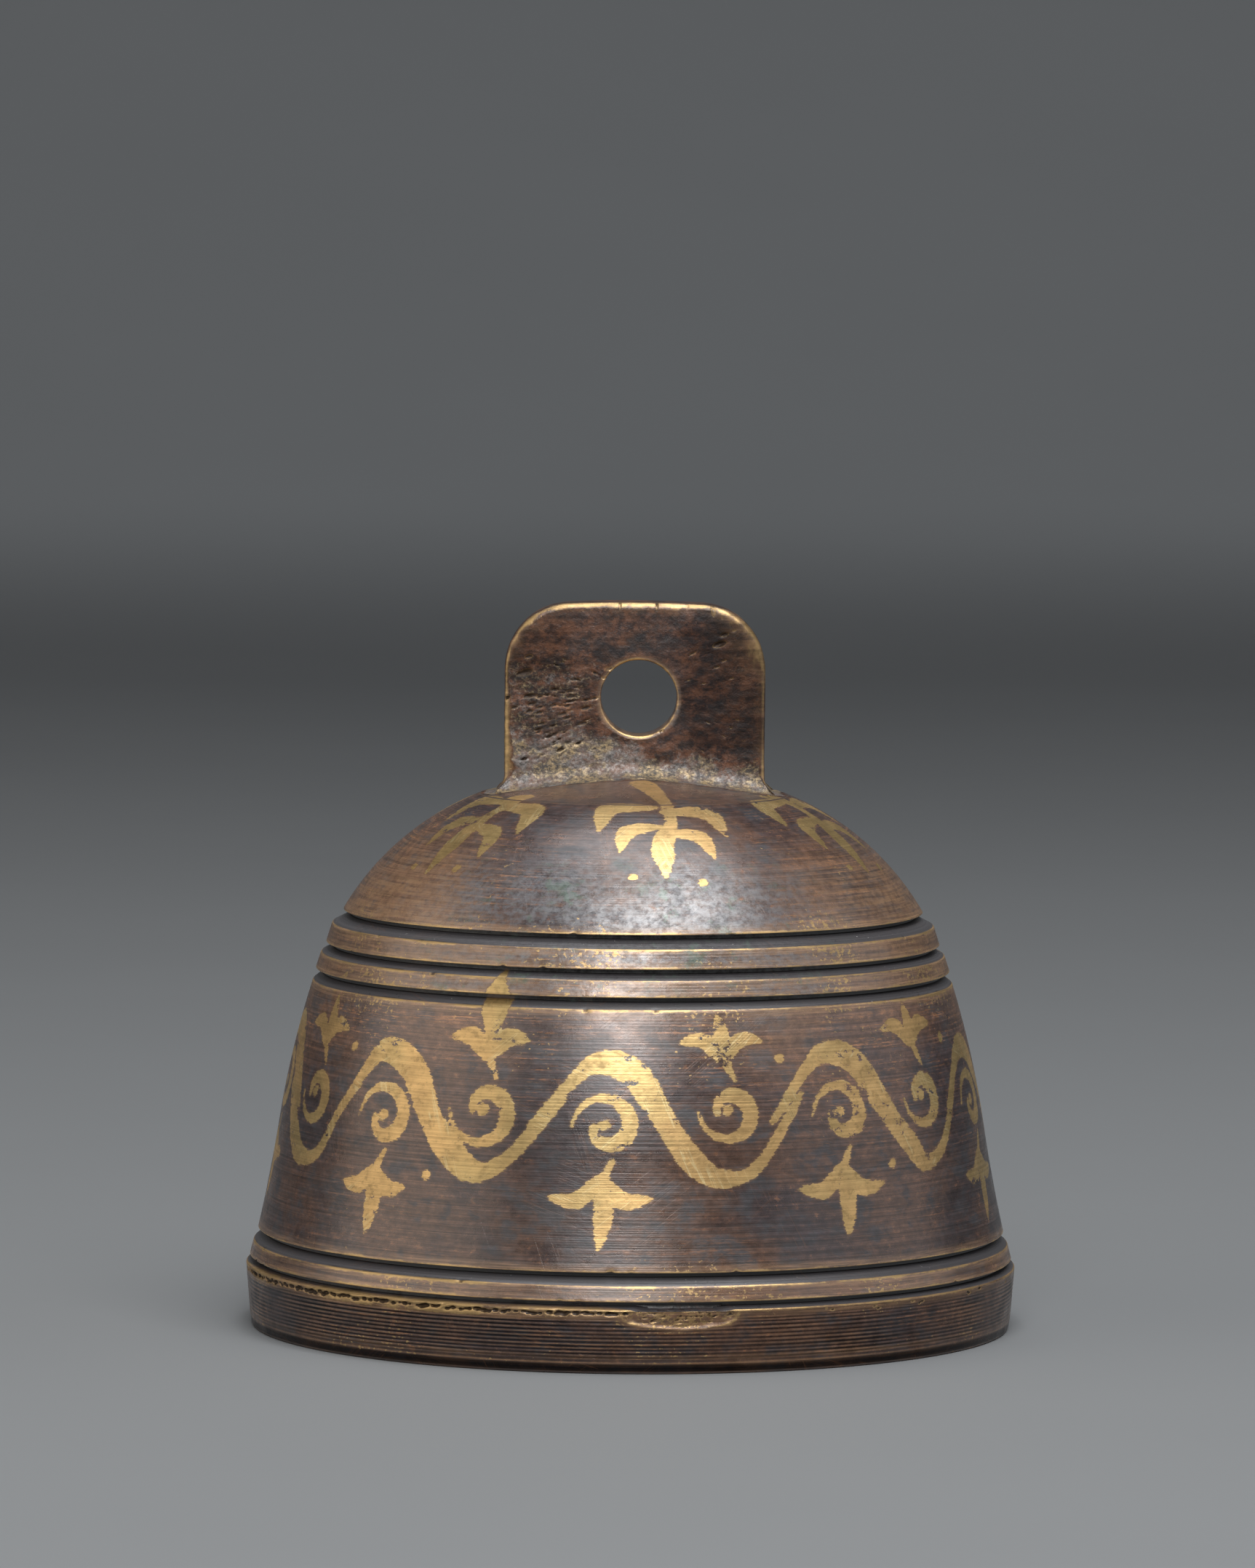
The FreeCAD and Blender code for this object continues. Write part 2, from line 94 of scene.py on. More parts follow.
def cloud(points, cell, seed):
    """Smooth noise from -1 to 1 at an array of points.

    Random values sit on the corners of a cubic lattice with that cell. A point takes the mean of
    the eight corners around it, weighted along each axis by 3f^2 - 2f^3 of its place in the cell.
    """
    table = np.random.default_rng(seed).uniform(-1.0, 1.0, (LATTICE, LATTICE, LATTICE))
    scaled = np.asarray(points, float) / cell
    low = np.floor(scaled).astype(int)
    part = scaled - low
    part = part * part * (3.0 - 2.0 * part)
    total = np.zeros(part.shape[:-1])
    for corner in np.ndindex(2, 2, 2):
        weight = np.where(corner, part, 1.0 - part).prod(axis=-1)
        index = (low + np.array(corner)) % LATTICE
        total += weight * table[index[..., 0], index[..., 1], index[..., 2]]
    return total


def clouds(points, cell, seed, octaves=3):
    """Clouds of halved cell and halved strength, added up and brought back to about -1 to 1."""
    total = sum(cloud(points, cell / 2 ** k, seed + k) / 2 ** k for k in range(octaves))
    return total / sum(1.0 / 2 ** k for k in range(octaves))


def ramp(low, high, value):
    """0 below low and 1 above high, with the smooth curve 3t^2 - 2t^3 between them."""
    t = np.clip((value - low) / (high - low), 0.0, 1.0)
    return t * t * (3.0 - 2.0 * t)


def turn_from(angles, angle):
    """Angles counted from another one, between minus and plus half a turn."""
    return (angles - angle + np.pi) % (2 * np.pi) - np.pi


print("noise at the origin:", round(float(cloud(np.zeros((1, 3)), 1.0, 1)[0]), 3))

# %% [markdown]
# Every part of the bell is a grid that closes on itself: rows follow its section and columns
# go round it. A turned ring closes both ways like a doughnut, and a disc ends in two poles.
# The grid's own neighbours give each point's normal, which moves it in or out for pits and
# grain. Building the faces from index arrays keeps Python loops out of it.

# %% Grids to meshes
FLAT_GIRTH = 290.0
SHARP_ANGLE = 42.0
FAR_FROM_EDGE = 9.0
BARE = -9.0
PLAIN_MARKS = {
    "turn": 0.0, "edge": FAR_FROM_EDGE, "groove": 0.0, "inside": 0.0, "stroke": BARE, "cast": 0.0,
    "grain": 0.0, "pit": 0.0, "crest": 0.0, "film": 0.0, "soot": 0.0,
}


def around(rows, angles):
    """Points of a turned grid: each row's radius and height carried round the axis.

    Angle 0 faces the viewer, at -Y, and grows towards +X: x = r sin a, y = -r cos a.
    """
    radius, height = rows[:, 0][:, None], rows[:, 1][:, None]
    return np.stack([radius * np.sin(angles), -radius * np.cos(angles), height + 0.0 * angles], axis=-1)


def grid_normals(points, ring):
    """Unit normals of a grid, from the cross product of the steps between each point's neighbours."""
    across = np.roll(points, -1, axis=1) - np.roll(points, 1, axis=1)
    if ring:
        along = np.roll(points, -1, axis=0) - np.roll(points, 1, axis=0)
    else:
        along = np.gradient(points, axis=0)
    normals = np.cross(across, along)
    return normals / np.maximum(np.linalg.norm(normals, axis=-1, keepdims=True), 1e-12)


def grid_faces(rows, columns, ring):
    """Corner numbers of a grid's quads, and each quad's column. A ring's rows close round as well."""
    last = rows if ring else rows - 1
    row, column = np.meshgrid(np.arange(last), np.arange(columns), indexing="ij")
    above, beside = (row + 1) % rows, (column + 1) % columns
    quads = np.stack([row * columns + column, row * columns + beside,
                      above * columns + beside, above * columns + column], axis=-1)
    return quads.reshape(-1, 4), column.reshape(-1)


def pole_fans(rows, columns):
    """Triangles from a grid's first and last row to two poles, which are numbered after its points."""
    column = np.arange(columns)
    beside = (column + 1) % columns
    pole, top = rows * columns, (rows - 1) * columns
    first = np.stack([np.full(columns, pole), beside, column], axis=-1)
    last = np.stack([np.full(columns, pole + 1), top + column, top + beside], axis=-1)
    return np.vstack([first, last])


def grid_piece(name, points, marks, lengths, ring=True, poles=None):
    """A closed mesh from a grid of points in millimetres.

    marks maps an attribute's name to its value at each grid point, where it isn't the plain one.
    lengths has each row's place along the section, for the flat map. poles are the two points that
    close the grid's ends when its rows don't close.
    """
    rows, columns = points.shape[:2]
    quads, quad_column = grid_faces(rows, columns, ring)
    flat = points.reshape(-1, 3)
    loops, starts = quads.reshape(-1), np.arange(len(quads)) * 4
    if poles is not None:
        fans = pole_fans(rows, columns)
        flat = np.vstack([flat, poles])
        starts = np.concatenate([starts, len(loops) + np.arange(len(fans)) * 3])
        loops = np.concatenate([loops, fans.reshape(-1)])
    mesh = bpy.data.meshes.new(name)
    mesh.vertices.add(len(flat))
    mesh.vertices.foreach_set("co", (flat * MM).astype(np.float32).ravel())
    mesh.loops.add(len(loops))
    mesh.loops.foreach_set("vertex_index", loops.astype(np.int32))
    mesh.polygons.add(len(starts))
    mesh.polygons.foreach_set("loop_start", starts.astype(np.int32))
    mesh.polygons.foreach_set("use_smooth", np.ones(len(starts), bool))
    mesh.update(calc_edges=True)
    for label, value in {**PLAIN_MARKS, **marks}.items():
        value = np.broadcast_to(value, (rows, columns)).ravel()
        if poles is not None:
            value = np.concatenate([value, [value[0], value[-1]]])
        mesh.attributes.new(label, "FLOAT", "POINT").data.foreach_set("value", value.astype(np.float32))
    flatten(mesh, quads, quad_column, columns, lengths)
    mesh.set_sharp_from_angle(angle=np.radians(SHARP_ANGLE))
    mesh.validate()
    triangles = len(loops) - 2 * len(starts)
    print("%-20s %4d rows x %4d columns, %6d triangles" % (name, rows, columns, triangles))
    return add_object(name, mesh)


def flatten(mesh, quads, quad_column, columns, lengths):
    """A map of the surface laid flat, in millimetres: round the bell across, along the section up.

    A quad at the seam keeps counting up instead of going back to 0, so nothing is smeared there.
    """
    column = (quad_column[:, None] + (0, 1, 1, 0)).ravel()
    flat = np.zeros((len(mesh.loops), 2), np.float32)
    flat[:quads.size, 0] = column * FLAT_GIRTH / columns
    flat[:quads.size, 1] = np.asarray(lengths)[quads.ravel() // columns]
    mesh.uv_layers.new(name="laid_flat").data.foreach_set("uv", flat.ravel())


# %% [markdown]
# The bell's section is a stack of bands and turned grooves, each with a height and a taper.
# It could be drawn as one curve and spun, but the bands are wanted as pieces of their own:
# a dense grid on each keeps every piece light, and the joins hide in the roots of the grooves.

# %% Section of the wall
MOUTH_RADIUS = 52.5
LIP_TOP = 8.5
GROOVE_DEPTH = 1.0
GROOVE_ROOT = 0.55
CROWN_RADIUS = 20.9
CROWN_EDGE = 72.65
CROWN_TOP = 75.75
STACK = {
    "foot_groove": (52.0, 9.55),
    "foot_band": (51.5, 11.5),
    "waist_groove": (50.9, 13.25),
    "flare": (48.0, 28.4),
    "waist": (43.6, 47.1),
    "shoulder_groove": (43.2, 48.75),
    "shoulder_band": (42.5, 50.9),
    "neck_groove": (41.8, 52.35),
    "neck_band": (41.0, 54.9),
    "dome_groove": (39.5, 56.75),
}
INSIDE_MOUTH = (46.3, 0.0)
INSIDE_CHAMFER = (45.1, 1.2)
INSIDE_LIP = (45.1, 8.5)
CEILING_EDGE = (18.03, 66.9)
CEILING_TOP = (9.9, 70.0)
BOSS_EDGE = (8.5, 67.4)
INNER_SIDES = (
    (INSIDE_MOUTH, 0.0, 0.6),
    (INSIDE_CHAMFER, 0.0, 1.0),
    (INSIDE_LIP, 0.0, 1.0),
    ((43.6, 28.4), 0.0, 1.0),
    ((39.2, 47.1), 0.0, 0.8),
    ((35.1, 54.55), 1.9, 0.5),
    (CEILING_EDGE, 0.0, 0.5),
)


def bow(first, last, bulge, step):
    """Points of an arc over a chord, from the first to before the last, about a step apart.

    The bulge is the arc's height over the chord, to the right of the way along it.
    """
    first, last = np.array(first, float), np.array(last, float)
    along = last - first
    length = np.hypot(*along)
    count = max(1, int(round(length / step)))
    t = np.arange(count) / count
    right = np.array([along[1], -along[0]]) / length
    if abs(bulge) < 1e-9:
        return first + t[:, None] * along
    radius = length ** 2 / (8 * abs(bulge)) + abs(bulge) / 2
    side = (t - 0.5) * length
    lift = np.sqrt(radius ** 2 - side ** 2) - (radius - abs(bulge))
    return first + t[:, None] * along + (lift * np.sign(bulge))[:, None] * right


def inner_wall():
    """The inside of the wall from the mouth up to the boss, as radius and height."""
    ends = [side[0] for side in INNER_SIDES[1:]] + [CEILING_TOP]
    sides = [bow(start, end, bulge, step) for (start, bulge, step), end in zip(INNER_SIDES, ends)]
    return np.vstack(sides + [np.array([CEILING_TOP])])


INNER = inner_wall()


def inner_radius(height):
    """Radius of the inner wall at a height, which rises all the way from the mouth to the ceiling."""
    return float(np.interp(height, INNER[:, 1], INNER[:, 0]))


def dome_ceiling():
    """The inside of the dome from the axis outwards, and its height under the crown's edge."""
    high = INNER[INNER[:, 1] > 50.0][::-1]
    return high, float(np.interp(CROWN_RADIUS, high[:, 0], high[:, 1]))


print("inner wall:", len(INNER), "points, radius at the waist", round(inner_radius(28.4), 2))

# %% [markdown]
# A section is written as corners and the sides between them. Where a real edge is worn, its
# corner is rounded by a small curve, and each row then knows how far it is from the nearest
# worn edge: that distance later lets the gold wear through. Sides carry a zone, so the
# material can tell a turned face from the slope of a groove or from the rough inside.

# %% Sections with zones and worn edges
FACE, SLOPE, ROOT, INSIDE, HIDDEN = 0.0, 1.0, 2.0, 3.0, 4.0
LOWER_EDGE = (0.12, 0.2, FACE, 0.0)
UPPER_EDGE = (0.15, 0.22, SLOPE, 0.0)


def towards(start, end, length):
    """The point at a length from the start on the way to the end."""
    way = np.array(end) - np.array(start)
    return np.array(start) + way / np.hypot(*way) * length


def row_lengths(rows):
    """Length along a section up to each of its rows."""
    return np.concatenate([[0.0], np.cumsum(np.hypot(*np.diff(rows, axis=0).T))])


def section(corners):
    """Rows of a closed section: radius, height, zone, distance from the nearest worn edge and length.

    Each corner is (radius, height, rounding, step, zone, bulge), where the last three describe the
    side that leaves it. A rounded corner is a quadratic curve that starts and ends at its rounding
    from the corner.
    """
    points, zones, worn = [], [], []
    count = len(corners)
    for k, (radius, height, rounding, step, zone, bulge) in enumerate(corners):
        after, following = corners[(k + 1) % count], corners[(k + 2) % count]
        bend = after[2]
        side = np.vstack([bow((radius, height), after[:2], bulge, step), after[:2]])
        room = 0.3 * min(step, 0.3)
        from_start = np.hypot(*(side - side[0]).T)
        from_end = np.hypot(*(side - side[-1]).T)
        keep = (from_start > rounding + room) & (from_end > bend + room)
        start, end = towards(side[0], side[1], rounding), towards(side[-1], side[-2], bend)
        own = np.vstack([start[None], side[keep]] + ([end[None]] if bend else []))
        points.append(own)
        zones.append(np.full(len(own), zone))
        worn.append(np.zeros(len(own), bool))
        if bend:
            leave = towards(after[:2], following[:2], bend)
            t = np.array([0.25, 0.5, 0.75])[:, None]
            points.append((1 - t) ** 2 * end + 2 * t * (1 - t) * np.array(after[:2]) + t ** 2 * leave)
            zones.append(np.full(3, min(zone, after[4])))
            worn.append(np.array([False, True, False]))
    rows = np.vstack(points)
    lengths = row_lengths(rows)
    marks = lengths[np.concatenate(worn)]
    edge = np.minimum(np.abs(lengths[:, None] - marks[None]).min(axis=1), FAR_FROM_EDGE)
    return {"rows": rows, "zone": np.concatenate(zones), "edge": edge, "length": lengths}


def inner_corners(top, bottom, step):
    """Corners down the inside of the wall at its bends, and the one where the hidden underside starts."""
    bends = [float(h) for h in INNER[::-1, 1] if bottom + 0.2 < h < top - 0.2]
    corners = [(inner_radius(h), h, 0.0, step, INSIDE, 0.0) for h in [top] + bends]
    return corners + [(inner_radius(bottom), bottom, 0.0, step, HIDDEN, 0.0)]


def ring_section(below, above, faces):
    """Section of a ring between the root of the groove below it and the root of the one above.

    Its underside is the flat wall of the lower groove. faces are the corners of what is turned on it,
    from the underside's edge up to the upper edge, and the slope of the upper groove follows them.
    """
    low_radius, low = STACK[below]
    high_radius, high = STACK[above]
    root = high_radius - GROOVE_DEPTH
    return section([
        (low_radius - GROOVE_DEPTH, low, 0.0, 0.25, ROOT, 0.0),
        *faces,
        (root, high - GROOVE_ROOT, 0.0, 0.2, ROOT, 0.0),
        (root, high, 0.0, 2.0, HIDDEN, 0.0),
        *inner_corners(high, low, 2.6),
    ])


def band_section(below, band, above):
    """Section of a plain band, with one face between its two edges."""
    return ring_section(below, above, [(*STACK[below], *LOWER_EDGE), (*STACK[band], *UPPER_EDGE)])


print("zones: face, slope, root, inside, hidden")

# %% [markdown]
# Wear is never even. Each edge gets nicks where the bell was knocked: shallow dents with an
# oval plan, scattered by a seeded generator so that the bell is the same every time.

# %% Dents and nicks
NICK_WIDTH = 0.75
NICK_DEPTH = 0.11


def dents(angles, lengths, girth_radius, spots):
    """Depth of oval dents on a turned grid.

    spots has a row for each dent: angle, length along the section, half width, half height and
    depth. A dent's profile is its depth times (1 - q)^2, where q is the squared distance from its
    middle in half widths and heights, up to q = 1.
    """
    depth = np.zeros((len(lengths), len(angles)))
    for angle, length, half_width, half_height, deep in spots:
        turn = turn_from(angles, angle)
        columns = np.flatnonzero(np.abs(turn) * girth_radius < half_width)
        rows = np.flatnonzero(np.abs(lengths - length) < half_height)
        across = turn[columns] * girth_radius / half_width
        up = (lengths[rows] - length) / half_height
        patch = deep * np.clip(1.0 - (across[None] ** 2 + up[:, None] ** 2), 0.0, None) ** 2
        place = np.ix_(rows, columns)
        depth[place] = np.maximum(depth[place], patch)
    return depth


def edge_nicks(form, seed, count):
    """Dents scattered round the worn edges of a section."""
    rng = np.random.default_rng(seed)
    worn = form["length"][np.isclose(form["edge"], 0.0, atol=1e-6)]
    spots = []
    for _ in range(count):
        size = rng.uniform(0.35, 1.0) ** 2
        angle, length, grow = rng.uniform(-np.pi, np.pi), rng.choice(worn), 0.3 + size
        spots.append((angle, length, NICK_WIDTH * grow, 0.25 + 0.35 * size, NICK_DEPTH * grow))
    return spots


print("nicks are drawn from seeded generators")

# %% [markdown]
# The gold is brushed on freehand: each stroke has a round head where the brush lands, swells
# and runs out. A drawn image could be wrapped round the bell, but it would stretch and blur.
# Instead each stroke is a curve with a width, and every point of the surface is told how deep
# it lies inside the nearest stroke. The material cuts that distance at zero, so the outline
# stays crisp at any size and can be worn ragged.

# %% Brush strokes as distances
BRUSH_MARGIN = 1.2


def brush(points, widths, per_span=9):
    """A stroke: a Catmull-Rom curve through the points, with half widths spread evenly along it."""
    points = np.array(points, float)
    knots = np.vstack([2 * points[0] - points[1], points, 2 * points[-1] - points[-2]])
    t = np.linspace(0.0, len(points) - 1.0, per_span * (len(points) - 1) + 1)
    k = np.minimum(t.astype(int), len(points) - 2)
    f = (t - k)[:, None]
    a, b, c, d = knots[k], knots[k + 1], knots[k + 2], knots[k + 3]
    curved = (2 * a - 5 * b + 4 * c - d) * f ** 2 + (3 * b - a - 3 * c + d) * f ** 3
    curve = 0.5 * (2 * b + (c - a) * f + curved)
    width = np.interp(t, np.linspace(0.0, len(points) - 1.0, len(widths)), widths)
    return np.column_stack([curve, width])


def leaf(foot, tip, half_width, bend=0.0):
    """An almond leaf from its foot to its tip: half widths follow the sine of the way along it."""
    foot, tip = np.array(foot, float), np.array(tip, float)
    way = tip - foot
    middle = (foot + tip) / 2 + bend * np.array([-way[1], way[0]])
    widths = 0.12 + half_width * np.sin(np.linspace(0.22, np.pi, 9)) ** 0.8
    return brush([foot, middle, tip], widths, per_span=10)


def dot(middle, radius):
    """A round touch of the brush."""
    middle = np.array(middle, float)
    ends = [middle - (0.15 * radius, 0.0), middle + (0.15 * radius, 0.1)]
    return brush(ends, [radius, 0.9 * radius], per_span=2)


def curl(middle, start, turns, outer, inner, widths):
    """A tendril: a spiral whose radius shrinks evenly from outer to inner, ending in a bud."""
    t = np.linspace(0.0, 1.0, int(abs(turns) * 10) + 3)
    angle = start + turns * 2 * np.pi * t
    radius = outer + (inner - outer) * t ** 0.85
    points = np.array(middle) + radius[:, None] * np.column_stack([np.cos(angle), np.sin(angle)])
    return brush(points, widths, per_span=3)


def inside_stroke(across, up, stroke):
    """How deep points lie inside a stroke: its width at the nearest place less the distance to it."""
    first, last = stroke[:-1], stroke[1:]
    way = last[:, :2] - first[:, :2]
    offset = np.stack([across[..., None] - first[:, 0], up[..., None] - first[:, 1]], axis=-1)
    t = np.clip((offset * way).sum(-1) / np.maximum((way ** 2).sum(-1), 1e-9), 0.0, 1.0)
    gap = np.hypot(offset[..., 0] - t * way[:, 0], offset[..., 1] - t * way[:, 1])
    return (first[:, 2] + t * (last[:, 2] - first[:, 2]) - gap).max(axis=-1)


def lay_strokes(angles, girth_radii, heights, placed):
    """The deepest stroke at each point of a turned grid.

    placed has pairs of an angle and a stroke whose first coordinate is a length round the bell
    from that angle. Each row turns angles into lengths with its own radius.
    """
    depth = np.full((len(heights), len(angles)), BARE)
    for angle, stroke in placed:
        turn = turn_from(angles, angle)
        margin = stroke[:, 2].max() + BRUSH_MARGIN
        low, high = stroke[:, 1].min() - margin, stroke[:, 1].max() + margin
        columns = np.flatnonzero(np.abs(turn) * girth_radii.min() < np.abs(stroke[:, 0]).max() + margin)
        rows = np.flatnonzero((heights > low) & (heights < high))
        across = turn[columns][None] * girth_radii[rows][:, None]
        up = np.broadcast_to(heights[rows][:, None], across.shape)
        patch = np.ix_(rows, columns)
        depth[patch] = np.maximum(depth[patch], inside_stroke(across, up, stroke))
    return depth


print("one leaf has", len(leaf((0, 0), (0, 6), 1.6)), "points")

# %% [markdown]
# The ornament is a running vine, one of the oldest borders there is: a wave of stem, a tendril
# that curls into each hollow and a spray of leaves in each gap. The repeats differ a little in
# place, size and pressure, as a painter's do. It fills the waist, with sprigs on the dome.

# %% The vine and the sprigs
VINE_REPEATS = 9
VINE_MIDDLE = 33.4
VINE_WAVE = 7.2
VINE_RADIUS = 46.0
VINE_SHIFT = 0.12
VINE_CEILING = 46.6
STEM_WIDTHS = {
    1.0: [0.55, 0.8, 1.3, 1.85, 1.95, 1.3, 0.3],
    -1.0: [1.3, 1.9, 1.55, 1.0, 0.8, 0.75, 0.25],
}
SPRIG_COUNT = 6


def vine(seed=11):
    """Strokes of the running vine, each with the angle that it is placed at.

    The stem is thick where the brush comes down and thin where it goes up again.
    """
    rng = np.random.default_rng(seed)
    period = 2 * np.pi / VINE_REPEATS
    half = period * VINE_RADIUS / 2
    placed = []
    for k in range(VINE_REPEATS):
        for side, flip in ((0, 1.0), (1, -1.0)):
            angle = (k + side / 2 - VINE_SHIFT) * period
            shift = rng.normal(0.0, 0.4, (12, 2))
            grow = rng.uniform(0.88, 1.12)
            wave = VINE_WAVE * flip * rng.uniform(0.92, 1.08)
            middle = VINE_MIDDLE + rng.normal(0.0, 0.5)
            stem = [(-half / 2 - 1.2, -0.2 * wave), (-half / 4, 0.70 * wave), (-0.4, wave),
                    (half / 4, 0.80 * wave), (half / 2 + 0.4, -0.05 * wave), (half / 2 + 3.2, -0.46 * wave)]
            stem = np.array(stem) + shift[:6] * (0.5, 0.6) + (0.0, middle)
            eye = np.array([0.5, middle - 1.0 * flip]) + shift[6] * 0.5
            strokes = [
                brush(stem, np.array(STEM_WIDTHS[flip]) * grow),
                curl(eye, np.pi, -1.0 * flip, 4.7 * grow, 1.7, [0.2, 0.55, 1.0, 1.15, 0.8, 0.5]),
                dot(eye + (-0.2, 0.2), 0.75 * grow),
            ]
            foot = middle - flip * 7.8
            tip = middle - flip * (14.4 + rng.uniform(-0.8, 1.6) + (1.6 if side == 0 else 0.0))
            if side == 1:
                tip = min(tip, VINE_CEILING)
            stalk = [(1.6, middle - 5.2 * flip), (0.9, middle - 6.6 * flip), (0.1, foot - 0.4 * flip)]
            strokes.append(brush(stalk, [0.25, 0.5, 0.6]))
            strokes.append(leaf((0.1, foot), (shift[7, 0], tip), 1.15 * grow, 0.05 * flip))
            for hand in (-1.0, 1.0):
                end = (hand * (6.2 + shift[8, 0]), middle - flip * (10.2 + 0.6 * shift[9, 1]))
                strokes.append(leaf((hand * 0.3, foot), end, 1.05 * grow, -0.24 * hand * flip))
            if rng.random() < 0.6:
                strokes.append(dot((8.4 + shift[10, 0], middle - flip * 8.0), 0.65))
            placed += [(angle, stroke) for stroke in strokes]
    return placed


def tall_buds():
    """Buds that climb from the vine over the grooves of the shoulder, at a few places only."""
    period = 2 * np.pi / VINE_REPEATS
    placed = []
    for k, lean in ((-1, 0.6), (2, -0.8), (5, 0.3)):
        angle = (k + 0.5 - VINE_SHIFT) * period
        bud = [(0.0, 44.6), (0.5 * lean, 48.0), (lean, 51.4)]
        placed.append((angle, brush(bud, [0.9, 1.9, 2.1, 1.2, 0.4])))
    return placed


def sprigs(seed=5):
    """Hanging sprigs for the dome. Their second coordinate is the length along the dome from its foot."""
    rng = np.random.default_rng(seed)
    placed = []
    for k in range(SPRIG_COUNT):
        angle = (k + 0.14) * 2 * np.pi / SPRIG_COUNT
        wobble = rng.normal(0.0, 0.35, (9, 2))
        top = 38.0 if abs(np.cos(angle)) > 0.8 else 25.6
        stem = [(0.1, top), (1.0, 0.5 * top + 10.6), (0.9, 20.5), (-0.2, 15.4), (-0.9, 8.4)]
        strokes = [brush(np.array(stem) + wobble[:5], [1.9, 1.4, 0.9, 0.8, 1.35, 1.6, 0.3])]
        for hand, drop in ((-1.0, 0.0), (1.0, 1.3)):
            upper, lower = (hand * 8.8, 18.2 - drop + wobble[5, 1]), (hand * 6.4, 13.0 - drop + wobble[6, 1])
            strokes.append(leaf((hand * 0.5, 24.0 - drop), upper, 1.4, 0.30 * hand))
            strokes.append(leaf((hand * 0.3, 19.0 - drop), lower, 1.15, 0.26 * hand))
        strokes.append(dot((4.2, 8.6) + wobble[7], 0.6))
        strokes.append(dot((-5.0, 9.4) + wobble[8], 0.55))
        placed += [(angle, stroke) for stroke in strokes]
    return placed


GIRTH_STROKES = vine() + tall_buds()
DOME_STROKES = sprigs()
print("strokes:", len(GIRTH_STROKES), "round the waist,", len(DOME_STROKES), "on the dome")

# %% [markdown]
# A metal with a skin of patina isn't one colour. It could be painted as an image, but then it
# would be as coarse as its pixels. Here it is a recipe: noise in real millimetres, stretched
# round the bell where the lathe drew it out, cut by the distances that the meshes carry. A
# small class keeps the recipe readable: each of its ways adds one node and gives its output.

# %% A short way to write materials
class Paint:
    """A material under construction.

    Inputs are sockets, numbers, vectors or colours, or the names of layers: sockets that many steps read.
    """

    def __init__(self, name):
        self.material = bpy.data.materials.new(name)
        self.material.use_nodes = True
        self.tree = self.material.node_tree
        self.tree.nodes.clear()
        self.layers = {}
        position = self.add("TexCoord", {}).outputs["Object"]
        self.layers["spot"] = self.stretch(position, (1.0 / MM, 1.0 / MM, 1.0 / MM))

    def add(self, kind, inputs, **settings):
        """A node with its settings, and with its inputs set or linked."""
        node = self.tree.nodes.new("ShaderNode" + kind)
        for key, value in settings.items():
            setattr(node, key, value)
        for key, value in inputs.items():
            value = self.layers[value] if isinstance(value, str) else value
            if isinstance(value, bpy.types.NodeSocket):
                self.tree.links.new(value, node.inputs[key])
            else:
                node.inputs[key].default_value = value
        return node

    def mark(self, name):
        """An attribute of the mesh."""
        return self.add("Attribute", {}, attribute_name=name).outputs["Fac"]

    def stretch(self, vector, factors):
        """A vector times a vector."""
        return self.add("VectorMath", {0: vector, 1: factors}, operation="MULTIPLY").outputs["Vector"]

    def fold(self, operation, first, *others):
        """One operation along a row of values: the first with the second, that with the third and so on."""
        for other in others:
            first = self.add("Math", {0: first, 1: other}, operation=operation).outputs[0]
        return first

    def times(self, *values):
        return self.fold("MULTIPLY", *values)

    def plus(self, *values):
        return self.fold("ADD", *values)

    def minus(self, *values):
        return self.fold("SUBTRACT", *values)

    def most(self, *values):
        return self.fold("MAXIMUM", *values)

    def noise(self, vector, factors, detail=3.0, roughness=0.55):
        """Noise whose frequencies along the vector's axes are the factors, per millimetre."""
        inputs = {"Vector": self.stretch(vector, factors), "Scale": 1.0, "Detail": detail}
        return self.add("TexNoise", inputs | {"Roughness": roughness}).outputs["Fac"]

    def step(self, value, low, high, start=0.0, end=1.0):
        """From start at low to end at high, along a smooth curve."""
        inputs = {"Value": value, "From Min": low, "From Max": high, "To Min": start, "To Max": end}
        return self.add("MapRange", inputs, interpolation_type="SMOOTHSTEP").outputs[0]

    def colour(self, share, first, second):
        """A mix of two colours: the first at a share of 0, the second at 1."""
        first, second = ((*tone, 1.0) if isinstance(tone, tuple) else tone for tone in (first, second))
        return self.add("Mix", {0: share, 6: first, 7: second}, data_type="RGBA").outputs[2]

    def value(self, share, first, second):
        """The same mix for numbers."""
        return self.add("Mix", {0: share, 2: first, 3: second}, data_type="FLOAT").outputs[0]

    def shade(self, colour, factor):
        """A colour made lighter or darker by a factor."""
        return self.add("VectorMath", {0: colour, "Scale": factor}, operation="SCALE").outputs["Vector"]

    def bump(self, height, distance, below=None):
        """A normal from a height, whose full range is distance, in millimetres."""
        inputs = {"Height": height, "Distance": distance * MM, "Strength": 1.0}
        return self.add("Bump", inputs | ({"Normal": below} if below else {})).outputs["Normal"]

    def finish(self, **inputs):
        """The shader and the output. Names have underscores for spaces."""
        shader = self.add("BsdfPrincipled", {key.replace("_", " "): value for key, value in inputs.items()})
        self.add("OutputMaterial", {"Surface": shader.outputs[0]})
        return self.material


print("materials are written with", len([name for name in dir(Paint) if not name.startswith("_")]), "ways")
